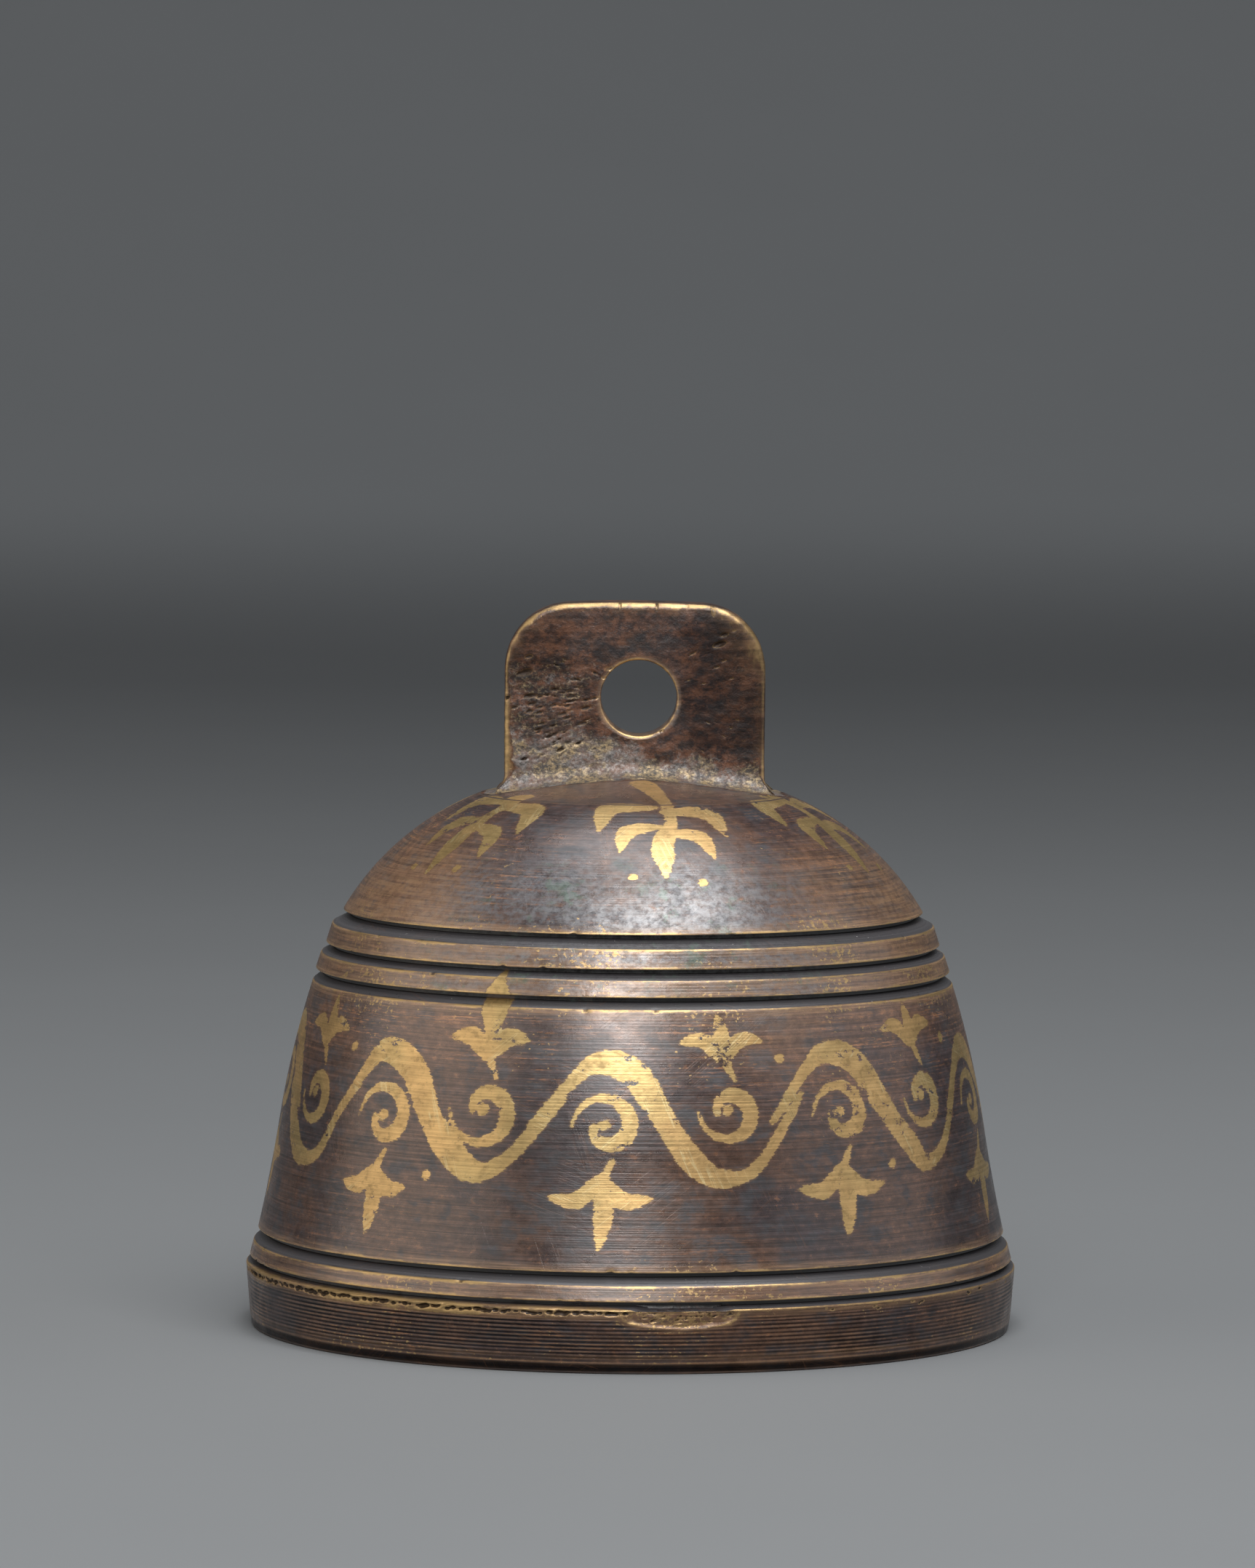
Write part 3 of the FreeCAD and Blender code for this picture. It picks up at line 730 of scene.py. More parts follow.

# %% [markdown]
# The bell's brass. Its patina is a glassy oxide, so it shines more than paint does: that is the
# high index of refraction. Under the shine it is plum, brown and slate in patches, with copper
# showing in streaks along the tool marks. Edges are rubbed brown, and bright gold at the very
# corner. Grooves keep a grey skin and dust, and a painted shadow, near black, at the root under
# each upper edge. Where the mould's sand left grain, high spots are rubbed bright and low ones
# stay black.

# %% Colours of the brass
PLUM = (0.053, 0.035, 0.036)
BROWN = (0.116, 0.061, 0.041)
SLATE = (0.042, 0.042, 0.050)
COPPER = (0.290, 0.128, 0.057)
FILM_AND_HIGHLIGHT_TONE = (0.150, 0.152, 0.165)
RUBBED = (0.285, 0.168, 0.092)
WORN_GOLD = (0.640, 0.430, 0.195)
GROOVE_SKIN = (0.064, 0.061, 0.066)
SOOT_AND_SHADOW = (0.014, 0.012, 0.011)
PIT_BROWN = (0.030, 0.018, 0.011)
DUST = (0.45, 0.45, 0.43)
LEAF_GOLD = (0.660, 0.425, 0.180)
OLIVE_GOLD = (0.545, 0.385, 0.165)
STAIN = (0.230, 0.160, 0.068)
BRUSH_BORDER = (0.150, 0.080, 0.038)
SCRATCHED_GOLD = (0.80, 0.66, 0.36)
VERDIGRIS = (0.080, 0.135, 0.100)
CAST_DARK = (0.012, 0.006, 0.006)
CAST_RED = (0.135, 0.055, 0.027)
CAST_SILVER = (0.350, 0.335, 0.325)
CAST_BRIGHT = (0.620, 0.470, 0.265)
INNER_SKIN = (0.085, 0.058, 0.040)
OXIDE_INDEX = 1.95


def add_layers(paint):
    """The marks and noises that the recipe reads, in millimetres. Noises of ring run round the bell."""
    split = paint.add("SeparateXYZ", {0: "spot"}).outputs
    paint.layers |= {name: paint.mark(name) for name in PLAIN_MARKS}
    paint.layers["ring"] = paint.add("CombineXYZ", {0: split[0], 1: split[1], 2: "turn"}).outputs[0]
    paint.layers |= {
        "patch": paint.noise("spot", (0.050, 0.050, 0.065), 4.0, 0.6),
        "region": paint.noise("spot", (0.075, 0.075, 0.075), 2.0),
        "blotch": paint.noise("spot", (0.22, 0.22, 0.34), 6.0, 0.65),
        "mottle": paint.noise("spot", (0.85, 0.85, 1.15), 5.0, 0.65),
        "streak": paint.noise("ring", (0.075, 0.075, 2.6), 6.0, 0.72),
        "dash": paint.noise("ring", (0.14, 0.14, 3.8), 5.0, 0.66),
        "hair": paint.noise("ring", (0.012, 0.012, 4.8), 3.0, 0.7),
    }


def patina(paint):
    """The dark skin before any wear. Copper shows in broken lines, most where the skin is rubbed."""
    skin = paint.colour(paint.step("patch", 0.40, 0.60), PLUM, BROWN)
    skin = paint.colour(paint.step("blotch", 0.49, 0.63, 0.0, 0.8), skin, SLATE)
    broken = paint.step(paint.noise("ring", (0.9, 0.9, 5.0), 4.0, 0.65), 0.32, 0.68, -0.09, 0.09)
    copper = paint.times(
        paint.step(paint.plus("streak", broken), 0.55, 0.66),
        paint.step("region", 0.38, 0.62, 0.15, 1.0),
        paint.step("crest", 0.0, 0.4, 0.45, 0.95),
    )
    skin = paint.colour(copper, skin, COPPER)
    smudge = paint.times(paint.step("mottle", 0.55, 0.70), paint.step("blotch", 0.50, 0.38, 0.0, 0.55))
    skin = paint.colour(smudge, skin, COPPER)
    skin = paint.shade(skin, paint.step("hair", 0.34, 0.66, 0.66, 1.36))
    skin = paint.shade(skin, paint.step("dash", 0.34, 0.66, 0.80, 1.22))
    return paint.shade(skin, paint.step("mottle", 0.32, 0.68, 0.76, 1.26))


# %% [markdown]
# The recipe is laid on in the order that time did it: patina, rubbing and film, gold at the
# edges, dust in the grooves, grain of the mould, dirt in the pits, and brushed gold with its
# losses and scratches. Painted light is laid in with it: the film also paints the highlight at
# the front, the rubbing paints sheen on the dome's flanks and shade on the lip's foot, and the
# grooves get a painted shadow at their roots. A mask made for a colour also steers metal,
# roughness and gloss, so that gold shines like metal exactly where it looks like gold.

# %% Patinated brass
def rub(paint, skin):
    """Skin rubbed brown on crests and beside edges, under a pale film that also paints the front's highlight,
    then worn to gold.
    """
    film = paint.step(paint.noise("spot", (1.0, 1.0, 1.3), 5.0, 0.72), 0.40, 0.62, 0.15, 0.85)
    crest_top = paint.times(
        paint.step("crest", 0.1, 1.0),
        paint.step("streak", 0.36, 0.60, 0.30, 0.90),
        paint.step("mottle", 0.34, 0.60, 0.55, 1.0),
    )
    # Low values darken: patina in the lip's ridge valleys, and painted shade on the lip's foot.
    skin = paint.shade(skin, paint.step("crest", -0.8, 0.5, 0.14, 1.0))
    # Rubbed brown on crests; on the dome's flanks it is also painted sheen.
    skin = paint.colour(crest_top, skin, RUBBED)
    # The pale film is partly a grey film and partly a painted highlight on the front of the dome and bands.
    skin = paint.colour(paint.times("film", film), skin, FILM_AND_HIGHLIGHT_TONE)
    halo = paint.times(paint.step("edge", 0.0, 1.5, 0.85, 0.0), paint.step("streak", 0.36, 0.60, 0.25, 1.0))
    skin = paint.colour(halo, skin, paint.shade(RUBBED, paint.step("dash", 0.34, 0.66, 0.55, 1.3)))
    reach = paint.plus(
        paint.step(paint.noise("ring", (0.12, 0.12, 0.2), 4.0, 0.65), 0.38, 0.68, -0.04, 0.30),
        paint.step(paint.noise("ring", (1.1, 1.1, 2.4), 4.0, 0.65), 0.3, 0.7, -0.09, 0.11),
    )
    at_edge = paint.step(paint.minus(reach, "edge"), -0.16, 0.20, 0.0, 0.95)
    fleck_zone = paint.plus(
        paint.step("edge", 0.2, 2.6, 0.08, 0.0),
        paint.step("region", 0.46, 0.62, -0.06, 0.07),
        paint.step("crest", -0.5, 0.7, -0.09, 0.05),
    )
    fleck = paint.plus(paint.noise("spot", (1.5, 1.5, 1.9), 4.0, 0.62), fleck_zone)
    fleck = paint.step(fleck, 0.71, 0.77, 0.0, 0.8)
    pit_rim = paint.times(paint.step("pit", 0.06, 0.20), paint.step("pit", 0.26, 0.46, 0.6, 0.0))
    worn = paint.most(at_edge, fleck, pit_rim)
    gold = paint.shade(WORN_GOLD, paint.step("dash", 0.3, 0.7, 0.68, 1.15))
    return paint.colour(worn, skin, gold), worn


def fill_grooves(paint, skin):
    """A grey skin in the grooves, specks of dust on it and a painted shadow, near black, at the root."""
    dust = paint.step(paint.noise("spot", (2.4, 2.4, 3.0), 1.0), 0.76, 0.80, 0.0, 0.8)
    tone = paint.colour(dust, paint.shade(GROOVE_SKIN, paint.step("hair", 0.3, 0.7, 0.75, 1.25)), DUST)
    # Painted shadow: the root and the flat underside of each groove go near black, where the upper edge
    # shades them.
    tone = paint.colour(paint.step("groove", 0.70, 0.96), tone, SOOT_AND_SHADOW)
    in_groove = paint.times(paint.step("groove", 0.15, 0.55), paint.step("edge", 0.04, 0.26))
    return paint.colour(in_groove, skin, tone), in_groove


def show_grain(paint, skin):
    """Sand-cast metal: dark red and black, paler right at the lug's foot, with high spots rubbed bright."""
    sand = paint.noise("spot", (0.62, 0.62, 0.75), 7.0, 0.74)
    tone = paint.colour(paint.step(sand, 0.40, 0.60), CAST_DARK, CAST_RED)
    tone = paint.shade(tone, paint.step("blotch", 0.38, 0.62, 1.25, 0.22))
    tone = paint.colour(paint.step("cast", 0.80, 1.0, 0.0, 0.35), tone, paint.shade(CAST_SILVER, 0.55))
    high = paint.plus(
        paint.noise("spot", (1.9, 1.9, 2.3), 5.0, 0.7),
        paint.times("grain", 0.08),
        paint.step("cast", 0.60, 1.05, -0.20, 0.12),
    )
    glint = paint.step(high, 0.46, 0.84, 0.0, 0.82)
    silver = paint.colour(paint.step("blotch", 0.44, 0.56), CAST_SILVER, CAST_BRIGHT)
    return paint.colour("cast", skin, paint.colour(glint, tone, silver)), paint.times(glint, "cast")


def soil(paint, skin):
    """Soot on what hands don't reach, dirt in the pits, and a little verdigris under the film."""
    skin = paint.shade(skin, paint.step("soot", 0.0, 1.0, 1.0, 0.55))
    skin = paint.colour(paint.step("pit", 0.22, 0.60, 0.0, 0.94), skin, PIT_BROWN)
    lichen = paint.step(paint.noise("spot", (0.30, 0.30, 0.34), 6.0, 0.75), 0.55, 0.65, 0.0, 0.6)
    return paint.colour(paint.times(lichen, "film"), skin, VERDIGRIS)


def brushed_shape(paint):
    """Where brushed gold lies and where its dark border is: strokes made ragged, with bits flaked off."""
    ragged = paint.step(paint.noise("ring", (0.8, 0.8, 3.4), 4.0, 0.65), 0.25, 0.75, -0.20, 0.20)
    loss = paint.noise("spot", (0.42, 0.42, 0.6), 6.0, 0.75)
    loss = paint.step(paint.plus(loss, paint.step("region", 0.42, 0.62, -0.04, 0.07)), 0.62, 0.69, 0.0, 2.4)
    ragged = paint.minus(paint.plus("stroke", ragged), loss)
    painted = paint.times(
        paint.step(ragged, -0.03, 0.05),
        paint.step("groove", 0.75, 0.95, 1.0, 0.0),
        paint.step("pit", 0.2, 0.5, 1.0, 0.0),
    )
    return painted, paint.step(ragged, -0.30, -0.05, 0.0, 0.55)


def scratch_lines(paint):
    """Fine scratches in three directions: thin bands about the middle of a long drawn noise."""
    flat = paint.add("UVMap", {}, uv_map="laid_flat").outputs[0]
    found = []
    for lean, away in ((0.35, 0.0), (-0.7, 31.0), (1.2, 67.0)):
        place = {"Vector": flat, "Location": (away, away, away), "Rotation": (0.0, 0.0, lean)}
        turned = paint.add("Mapping", place).outputs[0]
        off_middle = paint.minus(paint.noise(turned, (0.035, 0.9, 1.0), 2.0), 0.5)
        line = paint.step(paint.fold("ABSOLUTE", off_middle, 0.0), 0.004, 0.016, 1.0, 0.0)
        found.append(paint.times(line, paint.step(paint.noise(turned, (0.09, 0.12, 1.0), 2.0), 0.56, 0.62)))
    return paint.most(*found)


def gold_leaf(paint, scratches):
    """The brushed gold's own colour: two golds, stained, drawn out by the brush and scratched."""
    tone = paint.colour(paint.step("patch", 0.40, 0.60), OLIVE_GOLD, LEAF_GOLD)
    tone = paint.colour(paint.step("mottle", 0.50, 0.68, 0.0, 0.45), tone, STAIN)
    tone = paint.shade(tone, paint.step("hair", 0.3, 0.7, 0.84, 1.16))
    tone = paint.shade(tone, paint.step("blotch", 0.35, 0.65, 0.86, 1.12))
    return paint.colour(paint.times(scratches, 0.5), tone, SCRATCHED_GOLD)


def fine_relief(paint, scratches):
    """Tool lines, sand grit and scratches, too fine to be shape."""
    tool = paint.noise("ring", (0.02, 0.02, 2.9), 2.0, 0.5)
    grit = paint.times(paint.noise("spot", (1.7, 1.7, 1.7), 5.0, 0.65), paint.value("cast", 0.10, 0.75))
    relief = paint.bump(paint.plus(paint.times(tool, 1.3), paint.times("hair", 0.7)), 0.022)
    relief = paint.bump(grit, 0.20, relief)
    return paint.bump(paint.times(scratches, -1.0), 0.004, relief)


def make_bell_brass():
    """The skin in the order of its story, then the finish, which the same masks steer."""
    paint = Paint("patinated_brass")
    add_layers(paint)
    skin, worn = rub(paint, patina(paint))
    skin, in_groove = fill_grooves(paint, skin)
    skin, shiny = show_grain(paint, skin)
    skin = soil(paint, skin)
    painted, outline = brushed_shape(paint)
    scratches = scratch_lines(paint)
    skin = paint.colour(outline, skin, BRUSH_BORDER)
    skin = paint.colour(paint.times(scratches, 0.10), skin, COPPER)
    skin = paint.colour(painted, skin, gold_leaf(paint, scratches))
    within = paint.shade(INNER_SKIN, paint.step("hair", 0.3, 0.7, 0.7, 1.25))
    skin = paint.colour("inside", skin, within)

    unpolished = paint.most("cast", "pit")
    rough = paint.value(unpolished, paint.step("blotch", 0.3, 0.7, 0.24, 0.40), 0.46)
    rough = paint.value(worn, rough, 0.42)
    rough = paint.value(painted, rough, paint.step("mottle", 0.3, 0.7, 0.34, 0.46))
    rough = paint.value(in_groove, rough, 0.40)
    speckled = paint.step(paint.noise("spot", (0.8, 0.8, 1.1), 6.0, 0.78), 0.38, 0.60, 0.35, 1.30)
    gloss = paint.times(
        paint.step("crest", -0.9, 0.1, 0.14, 0.5),
        paint.value(in_groove, 1.0, 0.8),
        paint.step("soot", 0.0, 0.6, 1.0, 0.3),
        paint.value("film", 1.0, speckled),
    )
    bright = paint.most(paint.times(painted, 0.8), paint.times(worn, 0.85), shiny)
    return paint.finish(
        Base_Color=skin, Metallic=paint.value(bright, 0.22, 1.0), Roughness=rough, IOR=OXIDE_INDEX,
        Specular_IOR_Level=paint.value(unpolished, gloss, 0.10), Normal=fine_relief(paint, scratches),
    )


bell_brass = make_bell_brass()
print("bell brass has", len(bell_brass.node_tree.nodes), "nodes")

# %% [markdown]
# One function turns a ring from its section. It rounds nothing and colours nothing: it puts
# the section round the axis, moves each point along its normal by what the sculpting asks for,
# and writes down the distances that the material needs.

# %% Turning one ring
def groove_depth(form):
    """0 on the faces, 0.55 to 0.80 down a groove's slope, and 1 at its root."""
    radius, slope = form["rows"][:, 0], form["zone"] == SLOPE
    bounds = (radius[slope].min(), radius[slope].max()) if slope.any() else (0.0, 1.0)
    inward = (bounds[1] - radius) / (bounds[1] - bounds[0])
    # The groove mark rises steeply near the root, so the painted shadow reaches onto the top of the slope.
    return np.select([slope, form["zone"] == ROOT], [0.55 + 0.25 * inward ** 8, 1.0], 0.0)


def turned_ring(name, form, columns, sculpt, spots, strokes, seed):
    """A ring of the bell.

    sculpt gives the lift of each point along its normal in millimetres, how rough-cast it is, and
    any marks of the ring's own.
    """
    angles = np.arange(columns) * 2 * np.pi / columns
    rows, lengths = form["rows"], form["length"]
    points = around(rows, angles)
    outside = (form["zone"] < INSIDE)[:, None]
    pits = dents(angles, lengths, rows[:, 0].max(), spots)
    lift, cast, own = sculpt(form, angles, points)
    grain = clouds(points, 0.9, seed + 40, 2)
    lift = lift + cast * grain * 0.12 - pits * outside
    marks = {
        "turn": (rows[:, 1].min() + lengths)[:, None],
        "edge": form["edge"][:, None],
        "groove": groove_depth(form)[:, None],
        "inside": 1.0 - outside,
        "stroke": np.where(outside, strokes(angles, rows) if strokes else BARE, BARE),
        "cast": cast,
        "grain": grain,
        "pit": np.clip(pits / 0.22, 0.0, 1.0),
    }
    piece = grid_piece(name, points + grid_normals(points, True) * lift[..., None], marks | own, lengths)
    dress_bell(piece)


def dress_bell(piece):
    """What every piece of the bell shares: its material, its slot, its body and the node it stands for."""
    piece.data.materials.append(bell_brass)
    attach(piece, "bell")
    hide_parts("bell_casting")


RUB_HEIGHTS = (9.0, 12.0, 13.0, 30.0, 38.0, 47.0, 48.0, 56.0, 58.0, 63.0, 68.0, 72.0)
RUB_SHARES = (0.28, 0.28, 0.0, 0.0, 0.20, 0.42, 0.62, 0.62, 0.52, 0.42, 0.26, 0.05)


def rubbed(form, points):
    """How far hands have rubbed the patina thin: most on the bands and the dome's shoulder."""
    share = np.interp(form["rows"][:, 1], RUB_HEIGHTS, RUB_SHARES)[:, None]
    return share * (1.0 + 0.5 * clouds(points, 20.0, 90, 2)) * (form["zone"] == FACE)[:, None]


def filmed(points):
    """Patches of pale grey film at the front of the dome and the two bands under it; they also paint the
    highlight there.
    """
    side = np.abs(np.arctan2(points[..., 0], -points[..., 1]) + 0.03)
    share = ramp(1.05, 0.25, side) * ramp(70.0, 62.0, points[..., 2]) * ramp(47.3, 49.0, points[..., 2])
    return np.clip(share * (0.85 + 0.8 * clouds(points, 7.0, 95, 3)), 0.0, 1.0)


def still(form, angles, points):
    """Only the faint waviness that hand turning leaves."""
    return 0.035 * clouds(points, 14.0, 3, 2), 0.0, {"crest": rubbed(form, points), "film": filmed(points)}


def girth_strokes(angles, rows):
    """The vine on a ring: lengths round the bell are measured at the waist's radius."""
    return lay_strokes(angles, np.full(len(rows), VINE_RADIUS), rows[:, 1], GIRTH_STROKES)


print("rings are turned with", len(STACK), "levels")

# %% [markdown]
# The lip is the thick ring at the mouth. It was left with coarse tool marks: a dozen uneven
# ridges. Under its upper edge the casting was porous, so the lathe opened a row of pits there
# and one long flaw at the front. All of that is real shape here, because it changes the edge.

# %% The lip
RIDGE_PITCH = 0.49
FLAW_ANGLE = 0.125
FLAW_HALF_TURN = 0.148
FLAW_HEIGHT = 7.9
FLAW_HALF_HEIGHT = 1.9
FLAW_DEPTH = 0.26
FLAW_GRIT = 0.12
PITS_FROM = -1.45


def lip_section():
    """The lip from the mouth to the root of the foot groove."""
    groove = STACK["foot_groove"][1]
    root = STACK["foot_groove"][0] - GROOVE_DEPTH
    return section([
        (*INSIDE_MOUTH, 0.15, 1.6, FACE, 0.0),
        (51.66, 0.0, 0.42, 0.3, FACE, 0.0),
        (51.93, 1.45, 0.12, 0.12, FACE, 0.0),
        (MOUTH_RADIUS, LIP_TOP, 0.2, 0.2, SLOPE, 0.0),
        (root, groove - GROOVE_ROOT, 0.0, 0.25, ROOT, 0.0),
        (root, groove, 0.0, 2.0, HIDDEN, 0.0),
        (inner_radius(groove), groove, 0.0, 1.5, INSIDE, 0.0),
        (*INSIDE_LIP, 0.0, 1.5, INSIDE, 0.0),
        (*INSIDE_CHAMFER, 0.15, 0.6, INSIDE, 0.0),
    ])


def lip_pits(form, seed=21):
    """Pits under the upper edge: a row from the left side to the front, a few elsewhere, many in the flaw."""
    rng = np.random.default_rng(seed)
    edge = form["length"][np.argmin(np.hypot(*(form["rows"] - (MOUTH_RADIUS, LIP_TOP)).T))]
    spots = []
    angle = PITS_FROM
    while angle < 0.0:
        size = rng.uniform(0.3, 1.0)
        down = rng.uniform(0.30, 0.62)
        spots.append((angle, edge - down, 0.26 + 0.50 * size, 0.20 + 0.26 * size, 0.16 + 0.26 * size))
        angle += rng.uniform(0.45, 1.35) / MOUTH_RADIUS
    for _ in range(40):
        angle, down, half_width = rng.uniform(0.4, 4.7), rng.uniform(0.3, 0.9), rng.uniform(0.25, 0.7)
        spots.append((angle, edge - down, half_width, 0.3, rng.uniform(0.08, 0.25)))
    for _ in range(90):
        across = rng.uniform(-1.0, 1.0)
        down = rng.uniform(0.15, 0.30 + FLAW_HALF_HEIGHT * np.sqrt(1.0 - across ** 2))
        angle, half_width = FLAW_ANGLE + 0.135 * across, rng.uniform(0.2, 0.55)
        half_height, deep = rng.uniform(0.16, 0.3), rng.uniform(0.07, 0.18)
        spots.append((angle, edge - down, half_width, half_height, deep))
    return spots


def lip_edge(form, turn, height, ragged, grit, outer):
    """Distance from worn metal: shorter where the casting is porous and along the flaw's border."""
    front = ramp(-1.55, -1.25, turn + FLAW_ANGLE) * ramp(0.02, -0.08, turn + FLAW_ANGLE)
    porous = front[None] * ramp(6.9, 7.6, height)
    edge = form["edge"][:, None] / (1.0 + 5.0 * porous) + 0.9 * ramp(2.4, 1.6, height)
    border = np.abs(ragged - 1.02) * np.where(ragged > 1.02, 5.0, 1.8)
    border = np.where(ragged < 0.9, np.minimum(border, 0.34 - 0.45 * grit), border)
    border = np.maximum(border, 0.0) + 0.02
    return np.where(outer & (height > 4.0), np.minimum(edge, border), edge)


def lip_shape(form, angles, points):
    """Ridges of the tool, and the long flaw at the front with its grainy floor.

    A ridge is a sine of the height, whose phase wanders with a cloud so that no two are alike. The
    flaw is a lens in angle and height that sinks by its depth times a smooth ramp of the lens.
    """
    radius, height = form["rows"][:, :1], form["rows"][:, 1:]
    zone = form["zone"][:, None]
    outer = (radius > 51.0) & (height > 0.3) & (zone == FACE)
    wander = cloud(height[..., None] * (1.0, 0.0, 0.0), 1.7, 8)
    around_bell = cloud(points * (1.0, 1.0, 2.0), 17.0, 9)
    wave = np.sin(2 * np.pi * height / RIDGE_PITCH + 2.2 * wander + 0.5 * around_bell)
    turn = turn_from(angles, FLAW_ANGLE)
    across, up = turn / FLAW_HALF_TURN, (height - FLAW_HEIGHT) / FLAW_HALF_HEIGHT
    ragged = np.sqrt(across[None] ** 2 + up ** 2) + 0.16 * clouds(points, 2.4, 14, 3)
    floor = ramp(1.05, 0.80, ragged) * (outer | (zone == SLOPE)) * (height < 9.0)
    grit = clouds(points, 0.8, 15, 3)
    ridged = outer * ramp(1.75, 2.1, height) * ramp(8.1, 7.3, height) * ramp(0.95, 1.30, ragged)
    lift = ridged * wave * (0.026 + 0.012 * cloud(points, 9.0, 10))
    lift = lift + 0.03 * clouds(points, 12.0, 12, 2) * outer
    lift = lift - FLAW_DEPTH * floor - FLAW_GRIT * floor * grit
    line = np.exp(-((height - 1.5) / 0.13) ** 2)
    crest = ridged * (wave * (0.72 + 0.5 * cloud(points, 7.0, 16)) + 0.02) * (1.0 - floor)
    # The -0.75 below 1.45 mm is painted shade on the lip's foot, beside the floor.
    crest = crest + outer * (0.9 * line - 0.75 * ramp(1.45, 1.2, height)) + 0.45 * floor
    soot = outer * (0.45 + 0.40 * ramp(0.25, 0.60, clouds(points, 4.5, 19, 3)))
    edge = lip_edge(form, turn, height, ragged, grit, outer)
    return lift, 0.12 * floor, {"edge": edge, "crest": crest, "soot": soot}


lip_form = lip_section()
print("lip section:", len(lip_form["rows"]), "rows")

# %% [markdown]
# All rings follow one pattern, so a table can hold them: a form, how many columns it needs,
# what is sculpted on it, how often it was knocked and what is painted on it. Columns are as
# many as keep each piece under 200,000 triangles. The dome is the last with something of its
# own: sand grain beside the lug, where the lathe couldn't reach.

# %% Make the rings
LUG_HALF_WIDTH = 17.7
LUG_HALF_THICKNESS = 3.5


def dome_section():
    """The dome from the root of its groove to the edge of the crown."""
    foot_radius, foot = STACK["dome_groove"]
    return section([
        (foot_radius - GROOVE_DEPTH, foot, 0.0, 0.25, ROOT, 0.0),
        (foot_radius, foot, 0.12, 0.31, FACE, 2.05),
        (CROWN_RADIUS, CROWN_EDGE, 0.0, 2.0, HIDDEN, 0.0),
        *inner_corners(dome_ceiling()[1], foot, 3.0),
    ])


def near_lug(points):
    """1 where the bell was cast rough, beside the lug's foot, falling to 0 over the next 2 mm."""
    beside = np.hypot(np.maximum(np.abs(points[..., 0]) - LUG_HALF_WIDTH, 0.0),
                      np.maximum(np.abs(points[..., 1]) - LUG_HALF_THICKNESS, 0.0))
    return ramp(3.9, 2.2, beside + 0.9 * clouds(points, 3.0, 61, 3))


def dome_shape(form, angles, points):
    """Faint waviness, and sand grain that sets in beside the lug."""
    outside = (form["zone"] < INSIDE)[:, None]
    cast = near_lug(points) * outside
    lift = 0.03 * clouds(points, 13.0, 60, 2) * outside
    hold = ramp(21.0, 21.6, form["rows"][:, 0])[:, None]
    # Painted sheen: the rubbed brown is raised on the dome's flanks as seen from the front, and kept low at
    # front and back.
    sides = 0.30 + 1.30 * ramp(0.20, 0.85, np.abs(np.sin(angles)))[None]
    own = {"crest": rubbed(form, points) * sides, "film": filmed(points)}
    return lift + 0.06 * cast * hold * clouds(points, 1.2, 62, 2), cast, own


def dome_strokes(angles, rows, start=-GROOVE_DEPTH):
    """The sprigs on the dome and crown, by each row's own radius and its length from the dome's foot."""
    return lay_strokes(angles, np.maximum(rows[:, 0], 9.0), row_lengths(rows) + start, DOME_STROKES)


waist_form = ring_section("waist_groove", "shoulder_groove", [
    (*STACK["waist_groove"], 0.12, 0.40, FACE, -0.15),
    (*STACK["flare"], 0.0, 0.40, FACE, 0.35),
    (*STACK["waist"], *UPPER_EDGE),
])
dome_form = dome_section()
foot_form = band_section("foot_groove", "foot_band", "waist_groove")
shoulder_form = band_section("shoulder_groove", "shoulder_band", "neck_groove")
neck_form = band_section("neck_groove", "neck_band", "dome_groove")
RINGS = (
    ("bell_lip", lip_form, 940, lip_shape, 14, None),
    ("bell_foot_band", foot_form, 1000, still, 18, None),
    ("bell_waist", waist_form, 640, still, 18, girth_strokes),
    ("bell_shoulder_band", shoulder_form, 1000, still, 14, girth_strokes),
    ("bell_neck_band", neck_form, 1000, still, 14, girth_strokes),
    ("bell_dome", dome_form, 800, dome_shape, 10, dome_strokes),
)
for seed, (name, form, columns, sculpt, nicks, strokes) in enumerate(RINGS, 1):
    own_spots = lip_pits(form) if form is lip_form else []
    turned_ring(name, form, columns, sculpt, own_spots + edge_nicks(form, seed + 1, nicks), strokes, seed)

# %% [markdown]
# The crown is the flat cone inside the dome's ridge. The lathe couldn't reach close to the lug,
# so the grain of the casting sand is left there. Its underside is the ceiling of the bell with
# the boss that holds the staple. It is a disc, so its grid ends in a pole above and one below.

# %% The crown
CROWN_COLUMNS = 560
POLE_GAP = 0.3
GRAIN_CELL = 0.95
GRAIN_SEED = 71


def crown_rows():
    """Rows of the crown: out along the underside, up the hidden edge and in along the top."""
    high, ceiling = dome_ceiling()
    rim = high[(high[:, 0] > 18.1) & (high[:, 0] < CROWN_RADIUS - 0.2)]
    under = [bow((POLE_GAP, BOSS_EDGE[1]), BOSS_EDGE, 0.0, 0.8), bow(BOSS_EDGE, CEILING_TOP, 0.0, 0.4),
             bow(CEILING_TOP, CEILING_EDGE, 0.0, 0.7), rim]
    edge = bow((CROWN_RADIUS, ceiling), (CROWN_RADIUS, CROWN_EDGE), 0.0, 2.0)
    top = bow((CROWN_RADIUS, CROWN_EDGE), (0.0, CROWN_TOP), 0.12, 0.27)
    return np.vstack(under + [edge]), top


